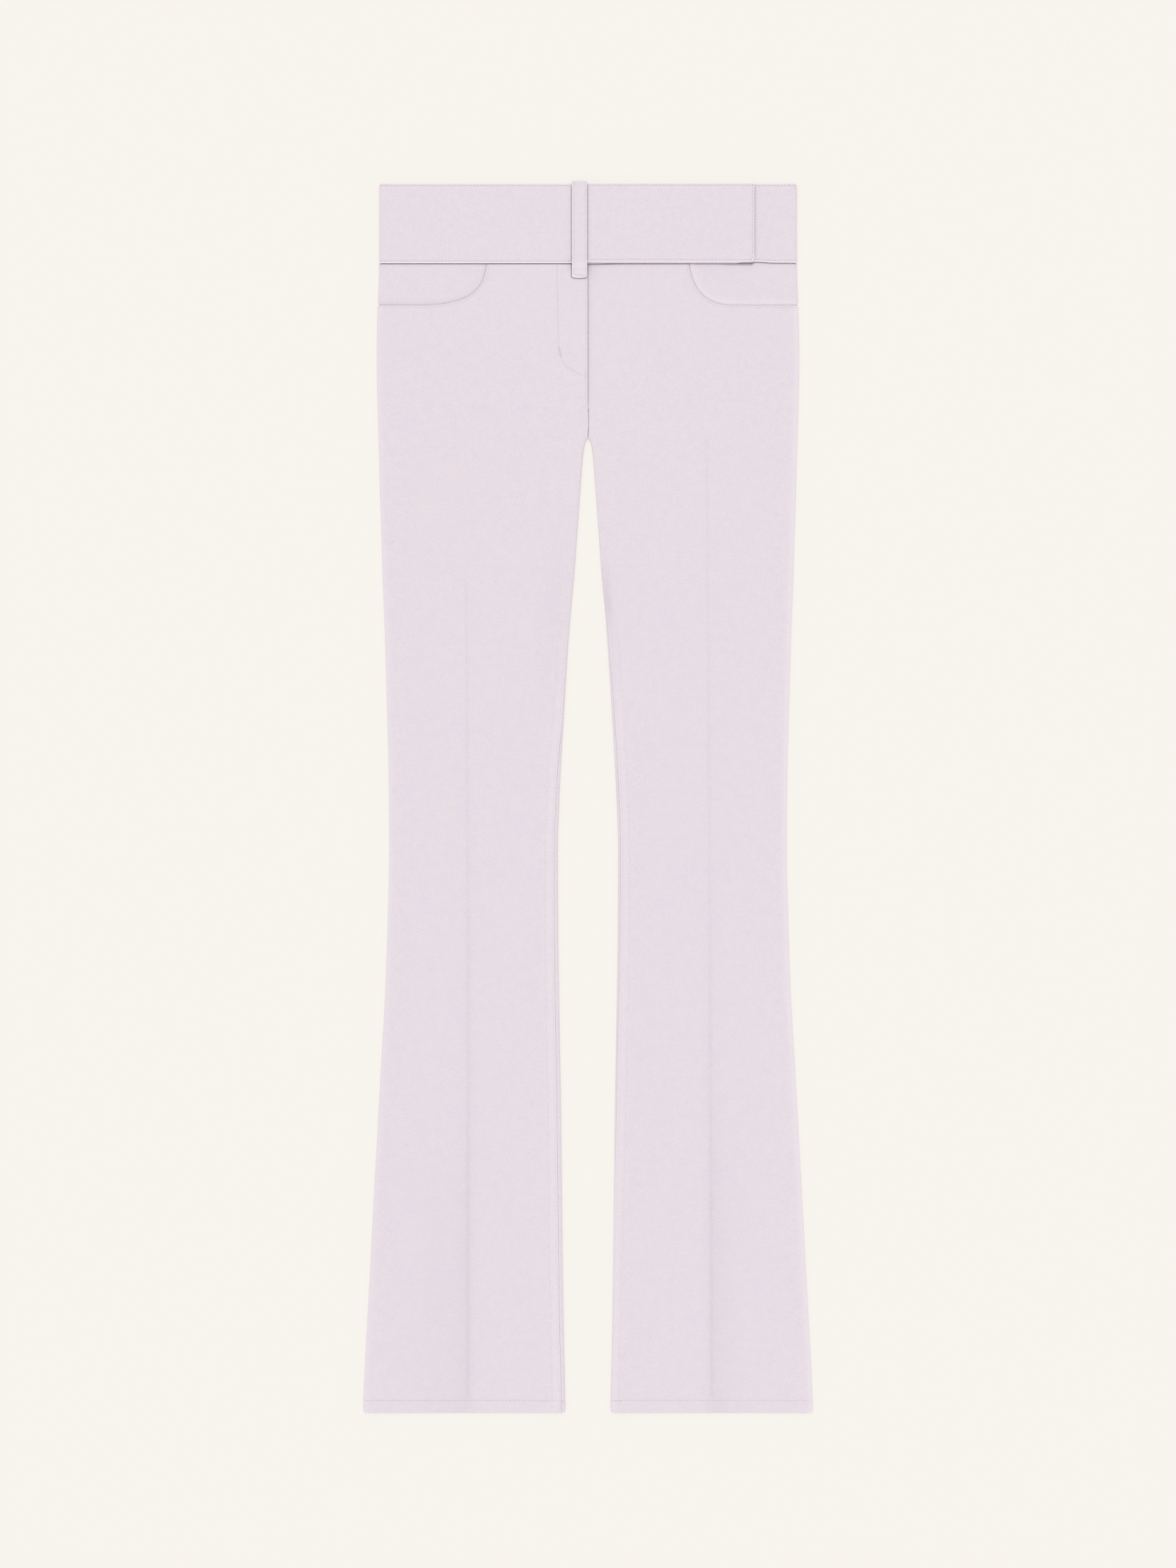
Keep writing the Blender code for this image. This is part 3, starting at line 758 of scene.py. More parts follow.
def brushed_gabardine():
    """Wool-look stretch gabardine, woven as a fine steep twill and brushed. The nap gives the eye a matt,
    faintly mottled lilac grey with a soft bloom of light at grazing angles, and the twill shows only close
    to. Real twill lines are 0.4 mm apart; they are drawn 0.9 mm apart so that they show at all."""
    material, tree, place = new_material("brushed_gabardine")

    # Mottling: the nap lies unevenly in patches of 4 to 8 mm and in flecks of about 1.2 mm.
    patches = add_node(tree, "TexNoise", {
        "Vector": place, "Scale": 150, "Detail": 3, "Roughness": 0.6})
    flecks = add_node(tree, "TexNoise", {
        "Vector": place, "Scale": 620, "Detail": 2, "Roughness": 0.65})
    hue = add_node(tree, "ValToRGB", {"Fac": patches.outputs["Fac"]})
    set_stops(hue, [(0.32, "#E4D9E5"), (0.5, "#E6DCE4"), (0.68, "#E8DEE1")])
    fleck = add_node(tree, "ValToRGB", {"Fac": flecks.outputs["Fac"]})
    set_stops(fleck, [(0.30, "#E0D5DF"), (0.5, "#E6DCE5"), (0.72, "#EDE4EC")])
    colour = add_node(tree, "Mix", {
        "Factor": 0.45, "A": hue.outputs["Color"], "B": fleck.outputs["Color"]}, data_type="RGBA")

    # Painted shade and painted highlight, at the creases, seams, stitches and edges, as darker or lighter
    # colour: the mesh's tone attribute carries how much.
    tone = add_node(tree, "Attribute", {}, attribute_name="tone")
    # Tone -1 mixes to the full painted shade, tone +1 to the full painted highlight.
    for full_tone, code in ((-1, "#9A8B96"), (1, "#F6EEF4")):
        share = add_node(tree, "MapRange", {
            "Value": tone.outputs["Fac"], "From Max": full_tone})
        colour = add_node(tree, "Mix", {
            "Factor": share.outputs["Result"], "A": colour.outputs["Result"], "B": linear(code)},
            data_type="RGBA")

    # Twill: bands at 60 degrees to the hem, broken up by the nap.
    turned = add_node(tree, "Mapping", {
        "Vector": place, "Rotation": (0, 0, math.radians(-60))})
    twill = add_node(tree, "TexWave", {
        "Vector": turned.outputs["Vector"], "Scale": 350, "Distortion": 0.6, "Detail": 1},
        wave_type="BANDS", bands_direction="X")
    nap = add_node(tree, "TexNoise", {"Vector": place, "Scale": 1400, "Detail": 2})
    relief = add_node(tree, "Math", {
        0: nap.outputs["Fac"], 1: 1.6, 2: twill.outputs["Fac"]}, operation="MULTIPLY_ADD")
    surface = add_node(tree, "Bump", {
        "Height": relief.outputs["Value"], "Strength": 0.22, "Distance": 0.00012})

    shader = add_node(tree, "BsdfPrincipled", {
        "Base Color": colour.outputs["Result"], "Roughness": 0.88, "IOR": 1.46, "Specular IOR Level": 0.35,
        "Sheen Weight": 0.18, "Sheen Roughness": 0.45, "Normal": surface.outputs["Normal"]})
    add_node(tree, "OutputMaterial", {"Surface": shader.outputs["BSDF"]})
    return material


def spun_thread():
    """Spun polyester sewing thread, dyed to match: a touch lighter than the cloth and slightly lustrous, with
    its twist of about 0.7 mm showing as fine slanted ribs."""
    material, tree, place = new_material("spun_polyester_thread")
    twist = add_node(tree, "TexWave", {"Vector": place, "Scale": 450, "Distortion": 0.4},
                     wave_type="BANDS", bands_direction="DIAGONAL")
    ply = add_node(tree, "ValToRGB", {"Fac": twist.outputs["Fac"]})
    set_stops(ply, [(0, "#E2D6DF"), (1, "#F3EAF0")])
    ribs = add_node(tree, "Bump", {
        "Height": twist.outputs["Fac"], "Strength": 0.3, "Distance": 0.0001})
    shader = add_node(tree, "BsdfPrincipled", {
        "Base Color": ply.outputs["Color"], "Roughness": 0.55, "IOR": 1.55, "Sheen Weight": 0.1,
        "Normal": ribs.outputs["Normal"]})
    add_node(tree, "OutputMaterial", {"Surface": shader.outputs["BSDF"]})
    return material


def opal_sheet():
    """Opal acrylic sheet, cast with a matt face and lit evenly from beneath, as a light table is: a warm
    white floor without gloss, on which shadows stay faint."""
    material, tree, place = new_material("matt_opal_acrylic")
    grain = add_node(tree, "TexNoise", {"Vector": place, "Scale": 900})
    shade = add_node(tree, "ValToRGB", {"Fac": grain.outputs["Fac"]})
    set_stops(shade, [(0, "#92908B"), (1, "#94928D")])
    shader = add_node(tree, "BsdfPrincipled", {
        "Base Color": shade.outputs["Color"], "Roughness": 0.95, "Specular IOR Level": 0.1,
        "Emission Color": linear("#F7F3EE"), "Emission Strength": 0.69})
    add_node(tree, "OutputMaterial", {"Surface": shader.outputs["BSDF"]})
    return material


# ---- patterns ----

PANEL_TOP = 69.85          # down, the fronts' and backs' upper edge
SEAM_SHADE = 70.45         # down, the deepest line of the waistband's seam, where its painted shade is darkest
POCKET_TOP = 88.5          # across, where the pocket opening leaves the waistband
POCKET_DEPTH = 106.9       # down, where it runs level to the side seam
POCKET_ROW = 1.7           # from the opening's edge to its stitch row
POCKET_TURN = 16           # the last stretch of its edge, which goes round the side
# (across, down) of the opening's start, the two handles of its curve, and the curve's end.
POCKET_BENDS = {
    RIGHT: ((POCKET_TOP, PANEL_TOP), (91.5, 95), (104, 106.6), (150, POCKET_DEPTH)),
    LEFT: ((POCKET_TOP, PANEL_TOP), (91.2, 92), (102, POCKET_DEPTH), (128, POCKET_DEPTH)),
}
INSEAM_ROWS = (1.9, 8)     # from the inseam to its two topstitch rows, on the front
INSEAM_ROWS_TOP = 384      # down, where they come round onto the front
HEM_START = {RIGHT: 1, LEFT: 10.5}         # from the inseam to the hem's first stitch
HEM_HOLE_SHADE = {RIGHT: -0.45, LEFT: -0.3}     # painted shade in the hem's needle holes, darker on the right leg
FLY_END = 196              # down, the end of the fly's edge
# (across, down) along the fly's curved stitching, and of the ends of its upper bar tack.
FLY_STITCHING = (
    (27.1, 72.5), (26.6, 110), (25.8, 144), (24, 151), (22.1, 156), (20.2, 159.1), (17.1, 161.6),
    (12.1, 164.7), (9, 166.6), (4.7, 168.2), (2.6, 169.3),
)
FLY_TACK = ((25.4, 144.2), (23.8, 151.2))

# Painted shade along the pressed crease, as (down, tone): on its line, and on its slopes.
LINE_DARK = {
    RIGHT: through((320, 0), (360, 0.05), (560, 0.045), (800, 0.06), (950, 0.07), (1066, 0.06)),
    LEFT: through((218, 0), (232, 0.05), (420, 0.045), (640, 0.04), (850, 0.06), (930, 0.07),
                  (1066, 0.06)),
}
SLOPE_DARK = {
    RIGHT: through((320, 0), (560, 0.01), (800, 0.03), (950, 0.045), (1066, 0.04)),
    LEFT: through((240, 0), (560, 0.01), (800, 0.03), (900, 0.045), (1066, 0.04)),
}
SHADE_WIDTH = {RIGHT: 40, LEFT: 16}        # of the soft painted shade outwards from the crease, towards the hem
EDGE_HIGHLIGHT = {RIGHT: 0.22, LEFT: 0.5}      # painted highlight: how much lighter the side edge is painted
# The painted shade where the inseam comes round: tone, then middle and half width across and down.
INSEAM_SHADE = {RIGHT: (0.03, 14, 12, 385, 70), LEFT: (0.15, 3, 4, 366, 26)}

# Rows of mesh points: how far from a folded edge's outermost line, or from a crease.
FOLD_ROWS = (0, 0.7, -0.7, 1.4, -1.4, 2.1, -2.1, 2.8, -2.8, 3.5, -3.5)
BAND_FOLD_ROWS = (0, 0.6, -0.6, 1.2, -1.2, 1.8, -1.8, 2.5, -2.5, 3.4, -3.4, 5, 7)
FACING_FOLD_ROWS = (0, 0.6, -0.6, 1.2, -1.2, 1.8, -1.8, 2.6, -2.6, 4)
CREASE_ROWS = (0, 0.6, -0.6, 1.4, -1.4, 2.4, -2.4, 3.6, -3.6, 5.2, -5.2)


def row_at(across_of, downs):
    """A line of pattern points, one at each of these distances down."""
    return np.column_stack([across_of(downs), downs])


def rows_beside(across_of, downs, offsets, way=1):
    """Such lines at these distances outwards from a line, or inwards if way is -1."""
    return [row_at(lambda down: across_of(down) + way * offset, downs) for offset in offsets]


def level_row(start, end, down, step=ROW_STEP):
    return spaced([(start, down), (end, down)], step)


def upright_row(across, start, end, step=ROW_STEP):
    return spaced([(across, start), (across, end)], step)


def joined(*parts):
    """A closed outline from lines that each start where the one before ends."""
    return np.concatenate([part[:-1] for part in parts])


def cornered(corners, step):
    """A closed outline round these corners."""
    return joined(*(spaced(pair, step) for pair in zip(corners, corners[1:] + corners[:1])))


def grid(left, right, top, bottom, step):
    """Points all over, step apart, with every other row moved by half a step."""
    points = []
    for k, down in enumerate(np.arange(top, bottom, step * 0.87)):
        columns = np.arange(left + step / 2 * (k % 2), right, step)
        points.append(np.column_stack([columns, np.full(len(columns), down)]))
    return np.concatenate(points)


def pocket_curve(side):
    """The scooped pocket opening, from the waistband out to where it runs level to the side."""
    points = interpolate_bezier(*(Vector((*bend, 0)) for bend in POCKET_BENDS[side]), 60)
    return np.array([(point.x, point.y) for point in points])


def hem_and_inner_edge(side_line, inner_line, count):
    """The end of a panel's outline: along the hem, then up the inner leg, closely round the crotch, and up
    the centre in this many points."""
    hem = level_row(side_line(OUTSEAM), inner_line(OUTSEAM), OUTSEAM, 2)
    at_crotch = np.concatenate([np.arange(180, 219, 1), np.arange(219, 234, 0.4),
                                np.arange(234, 240.5, 1)])
    downs = np.concatenate([np.linspace(OUTSEAM, 240, 360)[:-1], at_crotch[::-1],
                            np.linspace(180, PANEL_TOP, count)[1:]])
    return hem, row_at(inner_line, downs)


def front_outline(side):
    side_line = lambda down: side_fold(down) + SIDE_SEAM - SEAM_LINE
    inner_line = lambda down: front_inner(down, side) + SEAM_LINE
    turn = side_line(POCKET_DEPTH) - POCKET_TURN
    top = level_row(inner_line(PANEL_TOP), POCKET_TOP, PANEL_TOP, 2.5)
    scoop = spaced(pocket_curve(side), CURVE_STEP)
    level = spaced([POCKET_BENDS[side][-1], (turn, POCKET_DEPTH)], 1.1)
    round_edge = level_row(turn, side_line(POCKET_DEPTH), POCKET_DEPTH, 0.8)
    outer = row_at(side_line, np.linspace(POCKET_DEPTH, OUTSEAM, 370))
    return joined(top, scoop, level, round_edge, outer, *hem_and_inner_edge(side_line, inner_line, 100))


def back_outline(side):
    side_line = lambda down: OUTER(down) - HALF_WALL - ROLL_REACH - (SIDE_SEAM - ROLL_LENGTH) - SEAM_LINE
    inner_line = lambda down: back_inner(down, side) + SEAM_LINE
    top = level_row(inner_line(PANEL_TOP), side_line(PANEL_TOP), PANEL_TOP, 3)
    outer = row_at(side_line, np.linspace(PANEL_TOP, OUTSEAM, 330))
    return joined(top, outer, *hem_and_inner_edge(side_line, inner_line, 40))


def pocket_row(side):
    """Stitch row just outside the pocket opening's edge, round to the side seam."""
    curve = spaced(pocket_curve(side), CURVE_STEP)
    moved = max(beside(curve, (POCKET_ROW, -POCKET_ROW)), key=lambda line: line[:, 1].mean())
    moved = moved[moved[:, 1] > PANEL_TOP + 2.5]
    down = POCKET_DEPTH + POCKET_ROW
    level = [(152, down), (side_fold(POCKET_DEPTH) + SIDE_SEAM - 1, down)]
    return spaced(np.concatenate([moved, level]), ROW_STEP)


def front_light_and_shade(side):
    """Painted light and shade on a front: painted shade at the crease and where the inseam comes round, and
    painted highlights along the side edge and beside the inseam.
    """
    def tone(across, down, near):
        off = across - CREASE[side](down)
        total = -LINE_DARK[side](down) * bump(off - 0.3, 1.5) * above_hem(down)
        total = total - SLOPE_DARK[side](down) * bump(off, np.where(off > 0, 9, 6))
        shade = 0.036 * smooth((down - 760) / 220)
        total = total - shade * (off > 0) * bump(off - 8, SHADE_WIDTH[side])
        # Painted highlights along the side edge and beside the inseam.
        total = total + EDGE_HIGHLIGHT[side] * bump(side_fold(down) - across, 4)
        inseam_highlight = 0.15 * smooth((down - 400) / 80)
        total = total + inseam_highlight * bump(across - front_inner(down, side) - 3, 5)
        dark, middle, width, middle_down, length = INSEAM_SHADE[side]
        return total - dark * bump(across - INNER(down) - middle, width) * bump(down - middle_down, length)

    return tone


def hem_thickness(across, down):
    """The cloth that is turned up inside the hem."""
    return 0.55 * smooth((down - (OUTSEAM - HEM_TURN)) / 1.5)


def front_seams(across, down):
    """1 beside a front panel's seams, and 0 at its hem, its pocket opening and the fly's edge."""
    hem = smooth((down - 1066) / 6)
    opening = (across > 84) & (across < 184) & (down < 118)
    fly = (across < 20) * smooth((202 - down) / 8)
    return 1 - np.maximum(np.maximum(hem, opening), fly)


def back_seams(across, down):
    return smooth((1072 - down) / 6)


def loop_foot():
    """On the right front's pattern, the line that the belt loop's foot presses round itself."""
    half = LOOP_WIDTH / 2 + 0.3
    left, right, top = -LOOP_MIDDLE + half, 0.55, BAND_BOTTOM + 0.3
    bottom = [(-LOOP_MIDDLE - half * share, LOOP_END + 0.25 - 0.9 * share * share)
              for share in np.linspace(-1, 1, 13)]
    return spaced([(left, top), *bottom[:-1], (right, LOOP_END - 0.6), (right, top)], 0.7)


def panel_downs(top, step):
    """Down, the points of a panel's upright rows, closer together at the crotch."""
    return np.concatenate([np.arange(top, 218, step), np.arange(218, 233, 0.7),
                           np.arange(233, OUTSEAM, 2.6)])


# ---- the pieces ----

gabardine = brushed_gabardine()
thread = spun_thread()
made = {}                  # name: (piece, its mesh object, its stitches' objects)


def finish_piece(piece, lines, fill, seed=0):
    """Lays the piece and sews its rows."""
    obj = cut_and_lay(piece, lines, fill, gabardine)
    rows = [row for row, *_ in piece.rows]
    sewing = [sewn(f"{piece.name}_stitches", piece, rows, thread, seed=seed)] if rows else []
    made[piece.name] = (piece, obj, sewing)


def front_panel(side):
    piece = Piece(f"front_{SIDES[side]}", front_form(side), -side, front_outline(side),
                  tone=front_light_and_shade(side), turned_up=hem_thickness, seams=front_seams)
    inner = lambda down: front_inner(down, side)
    topstitched = np.linspace(INSEAM_ROWS_TOP, OUTSEAM - 1.5, 400)
    near_inseam, far_from_inseam = rows_beside(inner, topstitched, INSEAM_ROWS)
    hem_start = inner(HEM_ROW) + HEM_START[side]
    hem = level_row(hem_start, side_fold(HEM_ROW) + SIDE_SEAM - 1, HEM_ROW)
    # Each row: groove depth, painted shade in its needle holes, and painted highlight along it, if any.
    piece.rows = [(near_inseam, 0.12, -0.25, 0.15), (far_from_inseam, 0.12, -0.2, 0.12),
                  (pocket_row(side), 0.15, -0.4, 0.1), (hem, 0.18, HEM_HOLE_SHADE[side], 0)]
    lines = []
    if side == RIGHT:
        piece.rows += [(spaced(FLY_STITCHING, CURVE_STEP), 0.1, -0.35, 0),
                       (upright_row(1.9, 80, FLY_END), 0.12, -0.4, 0.1)]
        # Painted shadow round the belt loop's foot and beside the fly's upper bar tack, in shallow pressed
        # lines.
        piece.lines += [(loop_foot(), 0.3, 0.42, -0.9), (np.array(FLY_TACK), 0.1, 0.9, -0.3)]
        lines.append(grid(0.6, 16, PANEL_TOP + 1, 86, 0.7))
    else:
        # Painted shade in a shallow pressed line along the hem where no stitches are, and painted shadow
        # under the right front's fly edge.
        piece.lines += [(level_row(inner(HEM_ROW) + 1, hem_start - 0.5, HEM_ROW), 0.15, 0.5, -0.45),
                        (upright_row(0, PANEL_TOP, FLY_END), 0.25, 0.4, -0.35)]
    centre_seam = row_at(inner, np.linspace(197, 221, 24))
    # Painted shade along the centre seam and the waistband's seam.
    piece.lines += [(centre_seam, 0, 0.35, -0.5), (level_row(-9, 92, SEAM_SHADE), 0, 0.45, -0.8)]
    downs = panel_downs(112, 2.6)
    fold_rows = FOLD_ROWS + (4.6, -4.6, 6, 8)
    lines += rows_beside(side_fold, downs, fold_rows, -1)
    lines += rows_beside(lambda down: inner(down) - INSEAM[side](down), downs[downs > 205], fold_rows)
    lines += rows_beside(CREASE[side], downs[downs > 210], CREASE_ROWS)
    lines += rows_beside(inner, np.arange(PANEL_TOP + 1, 240, 1.6), (0.9, 1.5, 2.4, 3.6, 5.2))
    lines += [level_row(-9, 92, PANEL_TOP + below) for below in (0.8, 1.3, 2, 3)]
    finish_piece(piece, lines, grid(-12, 206, PANEL_TOP, OUTSEAM, 3.1), seed=2 + side)


def back_panel(side):
    def tone(across, down, near):
        # Painted shade along the back's crease.
        return -RIDGE[side](down) * 0.05 * bump(across - CREASE[side](down), 2)

    piece = Piece(f"back_{SIDES[side]}", back_form(side), side, back_outline(side), tone=tone,
                  turned_up=hem_thickness, seams=back_seams)
    hem = level_row(back_inner(HEM_ROW, side) + 1, OUTER(HEM_ROW) - 6.5, HEM_ROW)
    piece.rows = [(hem, 0.2, -0.4, -0.05)]
    downs = panel_downs(PANEL_TOP + 1.5, 3.2)
    lines = rows_beside(lambda down: back_inner(down, side) + INSEAM[side](down), downs[downs > 205],
                        FOLD_ROWS + (-5,), -1)
    lines += rows_beside(CREASE[side], downs[downs > 210], (0, 0.9, -0.9, 2, -2))
    finish_piece(piece, lines, grid(-12, 200, PANEL_TOP, OUTSEAM, 4.4), seed=12 + side)


def rounded_corner(corner, before, after, radii, count=8):
    """Points round a corner of an outline: from the side of "before" to the side of "after". The radii are
    how far before the corner the curve starts, and how far after it the curve ends."""
    corner, before, after = (np.array(point, float) for point in (corner, before, after))
    to_before = (before - corner) / np.linalg.norm(before - corner) * radii[0]
    to_after = (after - corner) / np.linalg.norm(after - corner) * radii[1]
    centre = corner + to_before + to_after
    angle = (math.pi / 2 * np.arange(count + 1) / count)[:, None]
    return centre - to_after * np.cos(angle) - to_before * np.sin(angle)


def tab_outline(start, low):
    """The right waistband with the tab, whose lower edge rises above the band's where it climbs the fly."""
    radius, up_the_end, along_the_edge = 1.5, 6, 2.6
    top = level_row(start, TAB_END - radius, 0, CURVE_STEP)
    upper_corner = rounded_corner((TAB_END, 0), (0, 0), (TAB_END, low), (radius, radius), 4)
    end = upright_row(TAB_END, radius, low - up_the_end, 1)
    lower_corner = rounded_corner((TAB_END, low), (TAB_END, 0), (0, low), (up_the_end, along_the_edge))
    bottom = level_row(TAB_END - along_the_edge, RAMP[1], low, 1)
    share = np.linspace(1, 0, 16)
    ramp = np.column_stack([mix(RAMP[0], RAMP[1], share), BAND_BOTTOM - TAB_RISE * smooth(share)])
    rest = level_row(RAMP[0], start, BAND_BOTTOM, 1)
    seam = upright_row(start, BAND_BOTTOM, 0, 2)
    return joined(top, upper_corner, end, lower_corner, bottom, ramp, rest, seam)


def band_light_and_shade(across, down, near):
    """Painted highlight along the edges, strongest on the lower edge's lip, and painted shade where it turns
    into the seam.
    """
    lower = smooth((down - 60) / 4)
    return 0.3 * bump(near - 0.55, 0.5) + 0.9 * lower * bump(near - 0.6, 0.5) - 0.3 * lower * bump(near, 0.2)


BAND_ROWS = (1.35, BAND_BOTTOM - 1.9)      # down, the waistband's stitch rows


def waistband_front(side):
    start = band_fold(side) + side * (BAND_SEAM - SEAM_LINE)
    upper_row, lower_row = BAND_ROWS
    if side == RIGHT:
        low = BAND_BOTTOM - TAB_RISE
        outline = tab_outline(start, low)
        end_row, tab_row = TAB_END - 1.8, low - 1.9
        corner = [(end_row, low - 5.2), (end_row - 0.5, low - 3.2), (end_row - 1.7, tab_row)]
        rows = [level_row(start + 1, end_row, upper_row),
                spaced([(end_row, upper_row), *corner], CURVE_STEP),
                spaced([corner[-1], (RAMP[1], tab_row), (RAMP[0], lower_row), (start + 1, lower_row)],
                       ROW_STEP)]
        # Painted shadow on the waistband along the belt loop's edges, in shallow pressed lines.
        beside_loop = LOOP_WIDTH / 2 + 0.25
        pressed = [(upright_row(LOOP_MIDDLE + off, 0.3, low - 0.3, CURVE_STEP), 0.35, 0.32, -0.7)
                   for off in (-beside_loop, beside_loop)]
    else:
        corners = [(UNDER_END, 0), (start, 0), (start, BAND_BOTTOM), (UNDER_END, BAND_BOTTOM)]
        outline = cornered(corners, 1.1)
        outline[:, 1] -= DRAWN_UP(outline[:, 0]) * smooth((outline[:, 1] - 60) / 9)
        rows = [level_row(UNDER_END + 2, start - 1, down) for down in BAND_ROWS]
        rows[1][:, 1] -= DRAWN_UP(rows[1][:, 0])
        # Painted shadow beside the tab's end, in a shallow pressed line.
        pressed = [(upright_row(TAB_END + 0.3, 0.3, 64, CURVE_STEP), 0.15, 0.35, -0.35)]
    piece = Piece(f"waistband_front_{SIDES[side]}", band_form(side), -1, outline, wall=1.8, face=BAND_HALF,
                  rounding=0.55, crown=0.1, tone=band_light_and_shade)
    piece.rows = [(row, 0.14, -0.6, 0) for row in rows]
    piece.lines = pressed
    downs = np.linspace(0.5, BAND_BOTTOM, 36)
    lines = rows_beside(lambda down: 0 * down + band_fold(side), downs, BAND_FOLD_ROWS, -side)
    lines += rows_beside(lambda down: 0 * down, downs, np.arange(RAMP[0] - 2, RAMP[1] + 3, 1.5))
    lines += [ring(piece.outline, near) for near in (1.3, 1.8, 2.6)]
    finish_piece(piece, lines, grid(-200, 200, 0, BAND_BOTTOM + 2, 3), seed=22 + side)


def waistband_back():
    half = BAND_EDGE - BAND_HALF - BAND_REACH - (BAND_SEAM - BAND_LENGTH) - SEAM_LINE
    outline = cornered([(-half, 0), (half, 0), (half, BAND_BOTTOM), (-half, BAND_BOTTOM)], 2.2)
    piece = Piece("waistband_back", band_back_form, 1, outline, wall=2.25, face=BAND_HALF, rounding=1.1,
                  tone=band_light_and_shade)
    piece.rows = [(level_row(-half + 1, half - 1, down), 0.14, -0.5, 0) for down in BAND_ROWS]
    lines = [ring(piece.outline, near) for near in (1.6, 2.4)]
    finish_piece(piece, lines, grid(-190, 190, 0, BAND_BOTTOM, 4), seed=31)


def pocket_facing(side):
    side_line = lambda down: facing_fold(down) + SIDE_SEAM - 0.3
    under_front = lambda down: facing_edge(down) - 0.7
    inner, low, tuck = 75, 118, POCKET_DEPTH - 0.12
    side_downs = (PANEL_TOP, 102, 103.2, 104.6, 106, tuck)
    corners = [(inner, PANEL_TOP), *((side_line(down), down) for down in side_downs),
               (under_front(tuck), tuck), (under_front(low), low), (inner, low)]
    outline = cornered(corners, 1)

    def drawn_up(across):
        """How far its seam goes up with the left waistband's."""
        return 0 * across if side == RIGHT else DRAWN_UP(across) * smooth((across - 144) / 3)

    outline[:, 1] -= drawn_up(outline[:, 0]) * (outline[:, 1] < PANEL_TOP + 0.01)
    pocket_edge = np.concatenate([pocket_curve(side), [(190, POCKET_DEPTH)]])

    def tone(across, down, near):
        """Painted shade at the waistband's seam, wider under the tab, and at the opening's edge; on the left,
        a painted lighter band just beside the opening.
        """
        mouth = distance_to(pocket_edge, np.column_stack([across, down]))
        shaded = 0 if side == RIGHT else smooth((across - 112) / 14) * smooth((146 - across) / 2)
        seam = bump(down + drawn_up(across) - SEAM_SHADE - 0.1 * shaded, 0.45 + 0.45 * shaded)
        if side == RIGHT:
            return -0.2 * bump(mouth, 1) - 0.06 * bump(mouth, 3.5) - 0.7 * seam
        return -0.55 * bump(mouth, 0.8) + 0.3 * bump(mouth - 2.8, 2) - 0.7 * seam

    piece = Piece(f"pocket_facing_{SIDES[side]}", facing_form(side), -side, outline, wall=0.7,
                  face=FACING_HALF, rounding=0.4, tone=tone)
    downs = np.concatenate([np.arange(PANEL_TOP, 101, 2), np.arange(101, low, 0.8)])
    lines = rows_beside(facing_fold, downs, FACING_FOLD_ROWS, -1)
    lines += [level_row(80, 182, down, 1) for down in (69.4, 69.9, 70.4, 70.9, 71.5, 72.3)]
    lines += beside(spaced(pocket_edge, ROW_STEP), (0.8, -0.8, 2, -2, 3.4, -3.4, 5, -5))
    finish_piece(piece, lines, grid(74, 196, PANEL_TOP, low, 2.6))


def bar_tack(start, end, reach, count):
    """Thread laid to and fro, close together, from start to end. Each length reaches this far both ways."""
    spots = mix(np.array(start), np.array(end), (np.arange(count) / (count - 1))[:, None])
    return [np.array([spot - reach, spot + reach]) for spot in spots]


def belt_loop():
    half, length = LOOP_WIDTH / 2, LOOP_RUN[-1]

    def tone(across, run, near):
        """Painted highlight along its edges and over its foot."""
        return 0.5 * bump(near - 0.6, 0.5) + 0.3 * smooth((run - length + 15) / 4)

    outline = cornered([(-half, 0), (half, 0), (half, length), (-half, length)], 0.8)
    outline[:, 1] -= 0.9 * (outline[:, 0] / half) ** 2 * (outline[:, 1] > length - 0.01)
    piece = Piece("belt_loop", loop_form, -1, outline, wall=1.4, face=LOOP_HALF, rounding=0.3, crown=0.06,
                  tone=tone, pitch=LOOP_STITCH)
    piece.rows = [(upright_row(x, 3.5, length - 4.5, CURVE_STEP), 0.14, -0.5, 0.05) for x in (-4.9, 5.2)]
    lines = [upright_row(x, 0.5, length - 0.5, 0.9) for x in (-2.5, 0, 2.5)]
    finish_piece(piece, lines, grid(-half, half, 0, length, 1.3), seed=41)
    bars = bar_tack((-4.4, length - 3.4), (5.9, length - 1.5), (0.3, 1), 19)
    made["belt_loop"][2].append(sewn("belt_loop_bar_tack", piece, bars, thread, pitch=2.4, length=0.98,
                                     half_width=0.32, slant=0, seed=42))


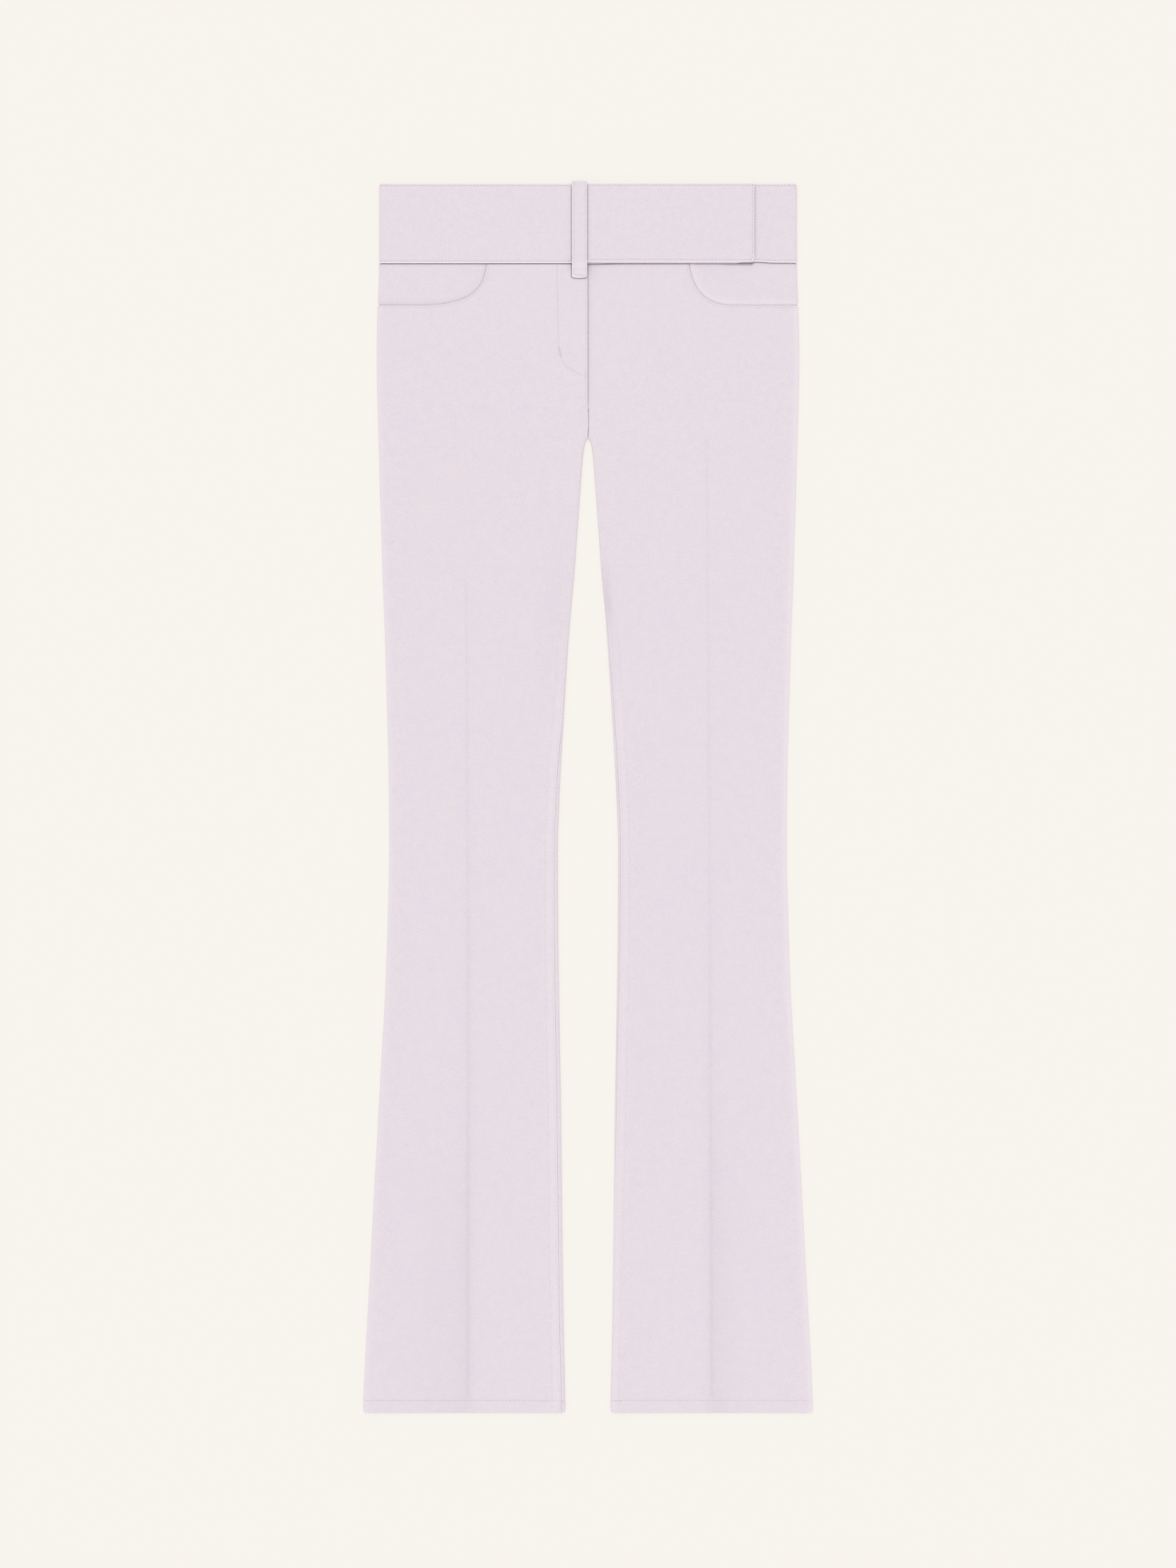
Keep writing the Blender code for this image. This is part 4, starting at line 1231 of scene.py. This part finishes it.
def fly_tacks():
    """Two bar tacks that hold the fly's stitching."""
    piece, _, sewing = made["front_right"]
    upper = bar_tack(*FLY_TACK, (0.8, 0.2), 11)
    lower = bar_tack((2.2, 162.2), (2.2, 170.4), (0.6, 0.2), 11)
    bars = [bar for both in zip(upper, lower) for bar in both]
    sewing.append(sewn("fly_bar_tacks", piece, bars, thread, pitch=2, length=0.98, half_width=0.3,
                       slant=0, seed=43))


# ---- making the garment ----

for side in (RIGHT, LEFT):
    front_panel(side)
    back_panel(side)
    waistband_front(side)
    pocket_facing(side)
waistband_back()
belt_loop()
fly_tacks()

for name, (piece, obj, sewing) in made.items():
    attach(obj, "root")
    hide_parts(name)
    for extra in sewing:
        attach(extra, "root")

# ---- floor, light and camera, in metres ----

FLOOR_HALF = 30            # so wide that its edge shows in no view
FLOOR_DEPTH = 0.0002       # below the cloth, so that the two don't flicker
FRAME_HEIGHT = 1.3777      # of the surface, as much as the photograph's height takes in
FRAME_MIDDLE = 0.0117      # y of its middle
FRAME_LEVEL = 0.004        # the height at which that holds, about half way up the layers

floor_corners = [(x * FLOOR_HALF, y * FLOOR_HALF, 0) for x, y in ((-1, -1), (1, -1), (1, 1), (-1, 1))]
floor = new_object("floor", floor_corners, [(0, 1, 2, 3)], opal_sheet())
floor.location.z = -FLOOR_DEPTH

studio = bpy.data.worlds.new("studio")
studio.use_nodes = True
all_round = studio.node_tree.nodes["Background"]
all_round.inputs["Color"].default_value = (1, 0.995, 0.985, 1)
all_round.inputs["Strength"].default_value = 0.86
bpy.context.scene.world = studio
softbox_light = bpy.data.lights.new("softbox", "SUN")
softbox_light.energy = 0.5
softbox_light.angle = math.radians(50)
softbox = bpy.data.objects.new("softbox", softbox_light)
softbox.rotation_euler = (math.radians(-14), math.radians(-9), 0)
bpy.context.scene.collection.objects.link(softbox)
bpy.context.scene.view_settings.view_transform = "Standard"

lens = bpy.data.cameras.new("camera")
lens.lens = 85
lens.sensor_width = 36
camera = bpy.data.objects.new("camera", lens)
camera.location = (0, FRAME_MIDDLE, FRAME_LEVEL + FRAME_HEIGHT * lens.lens / lens.sensor_width)
bpy.context.scene.collection.objects.link(camera)
bpy.context.scene.camera = camera

bpy.context.view_layer.update()
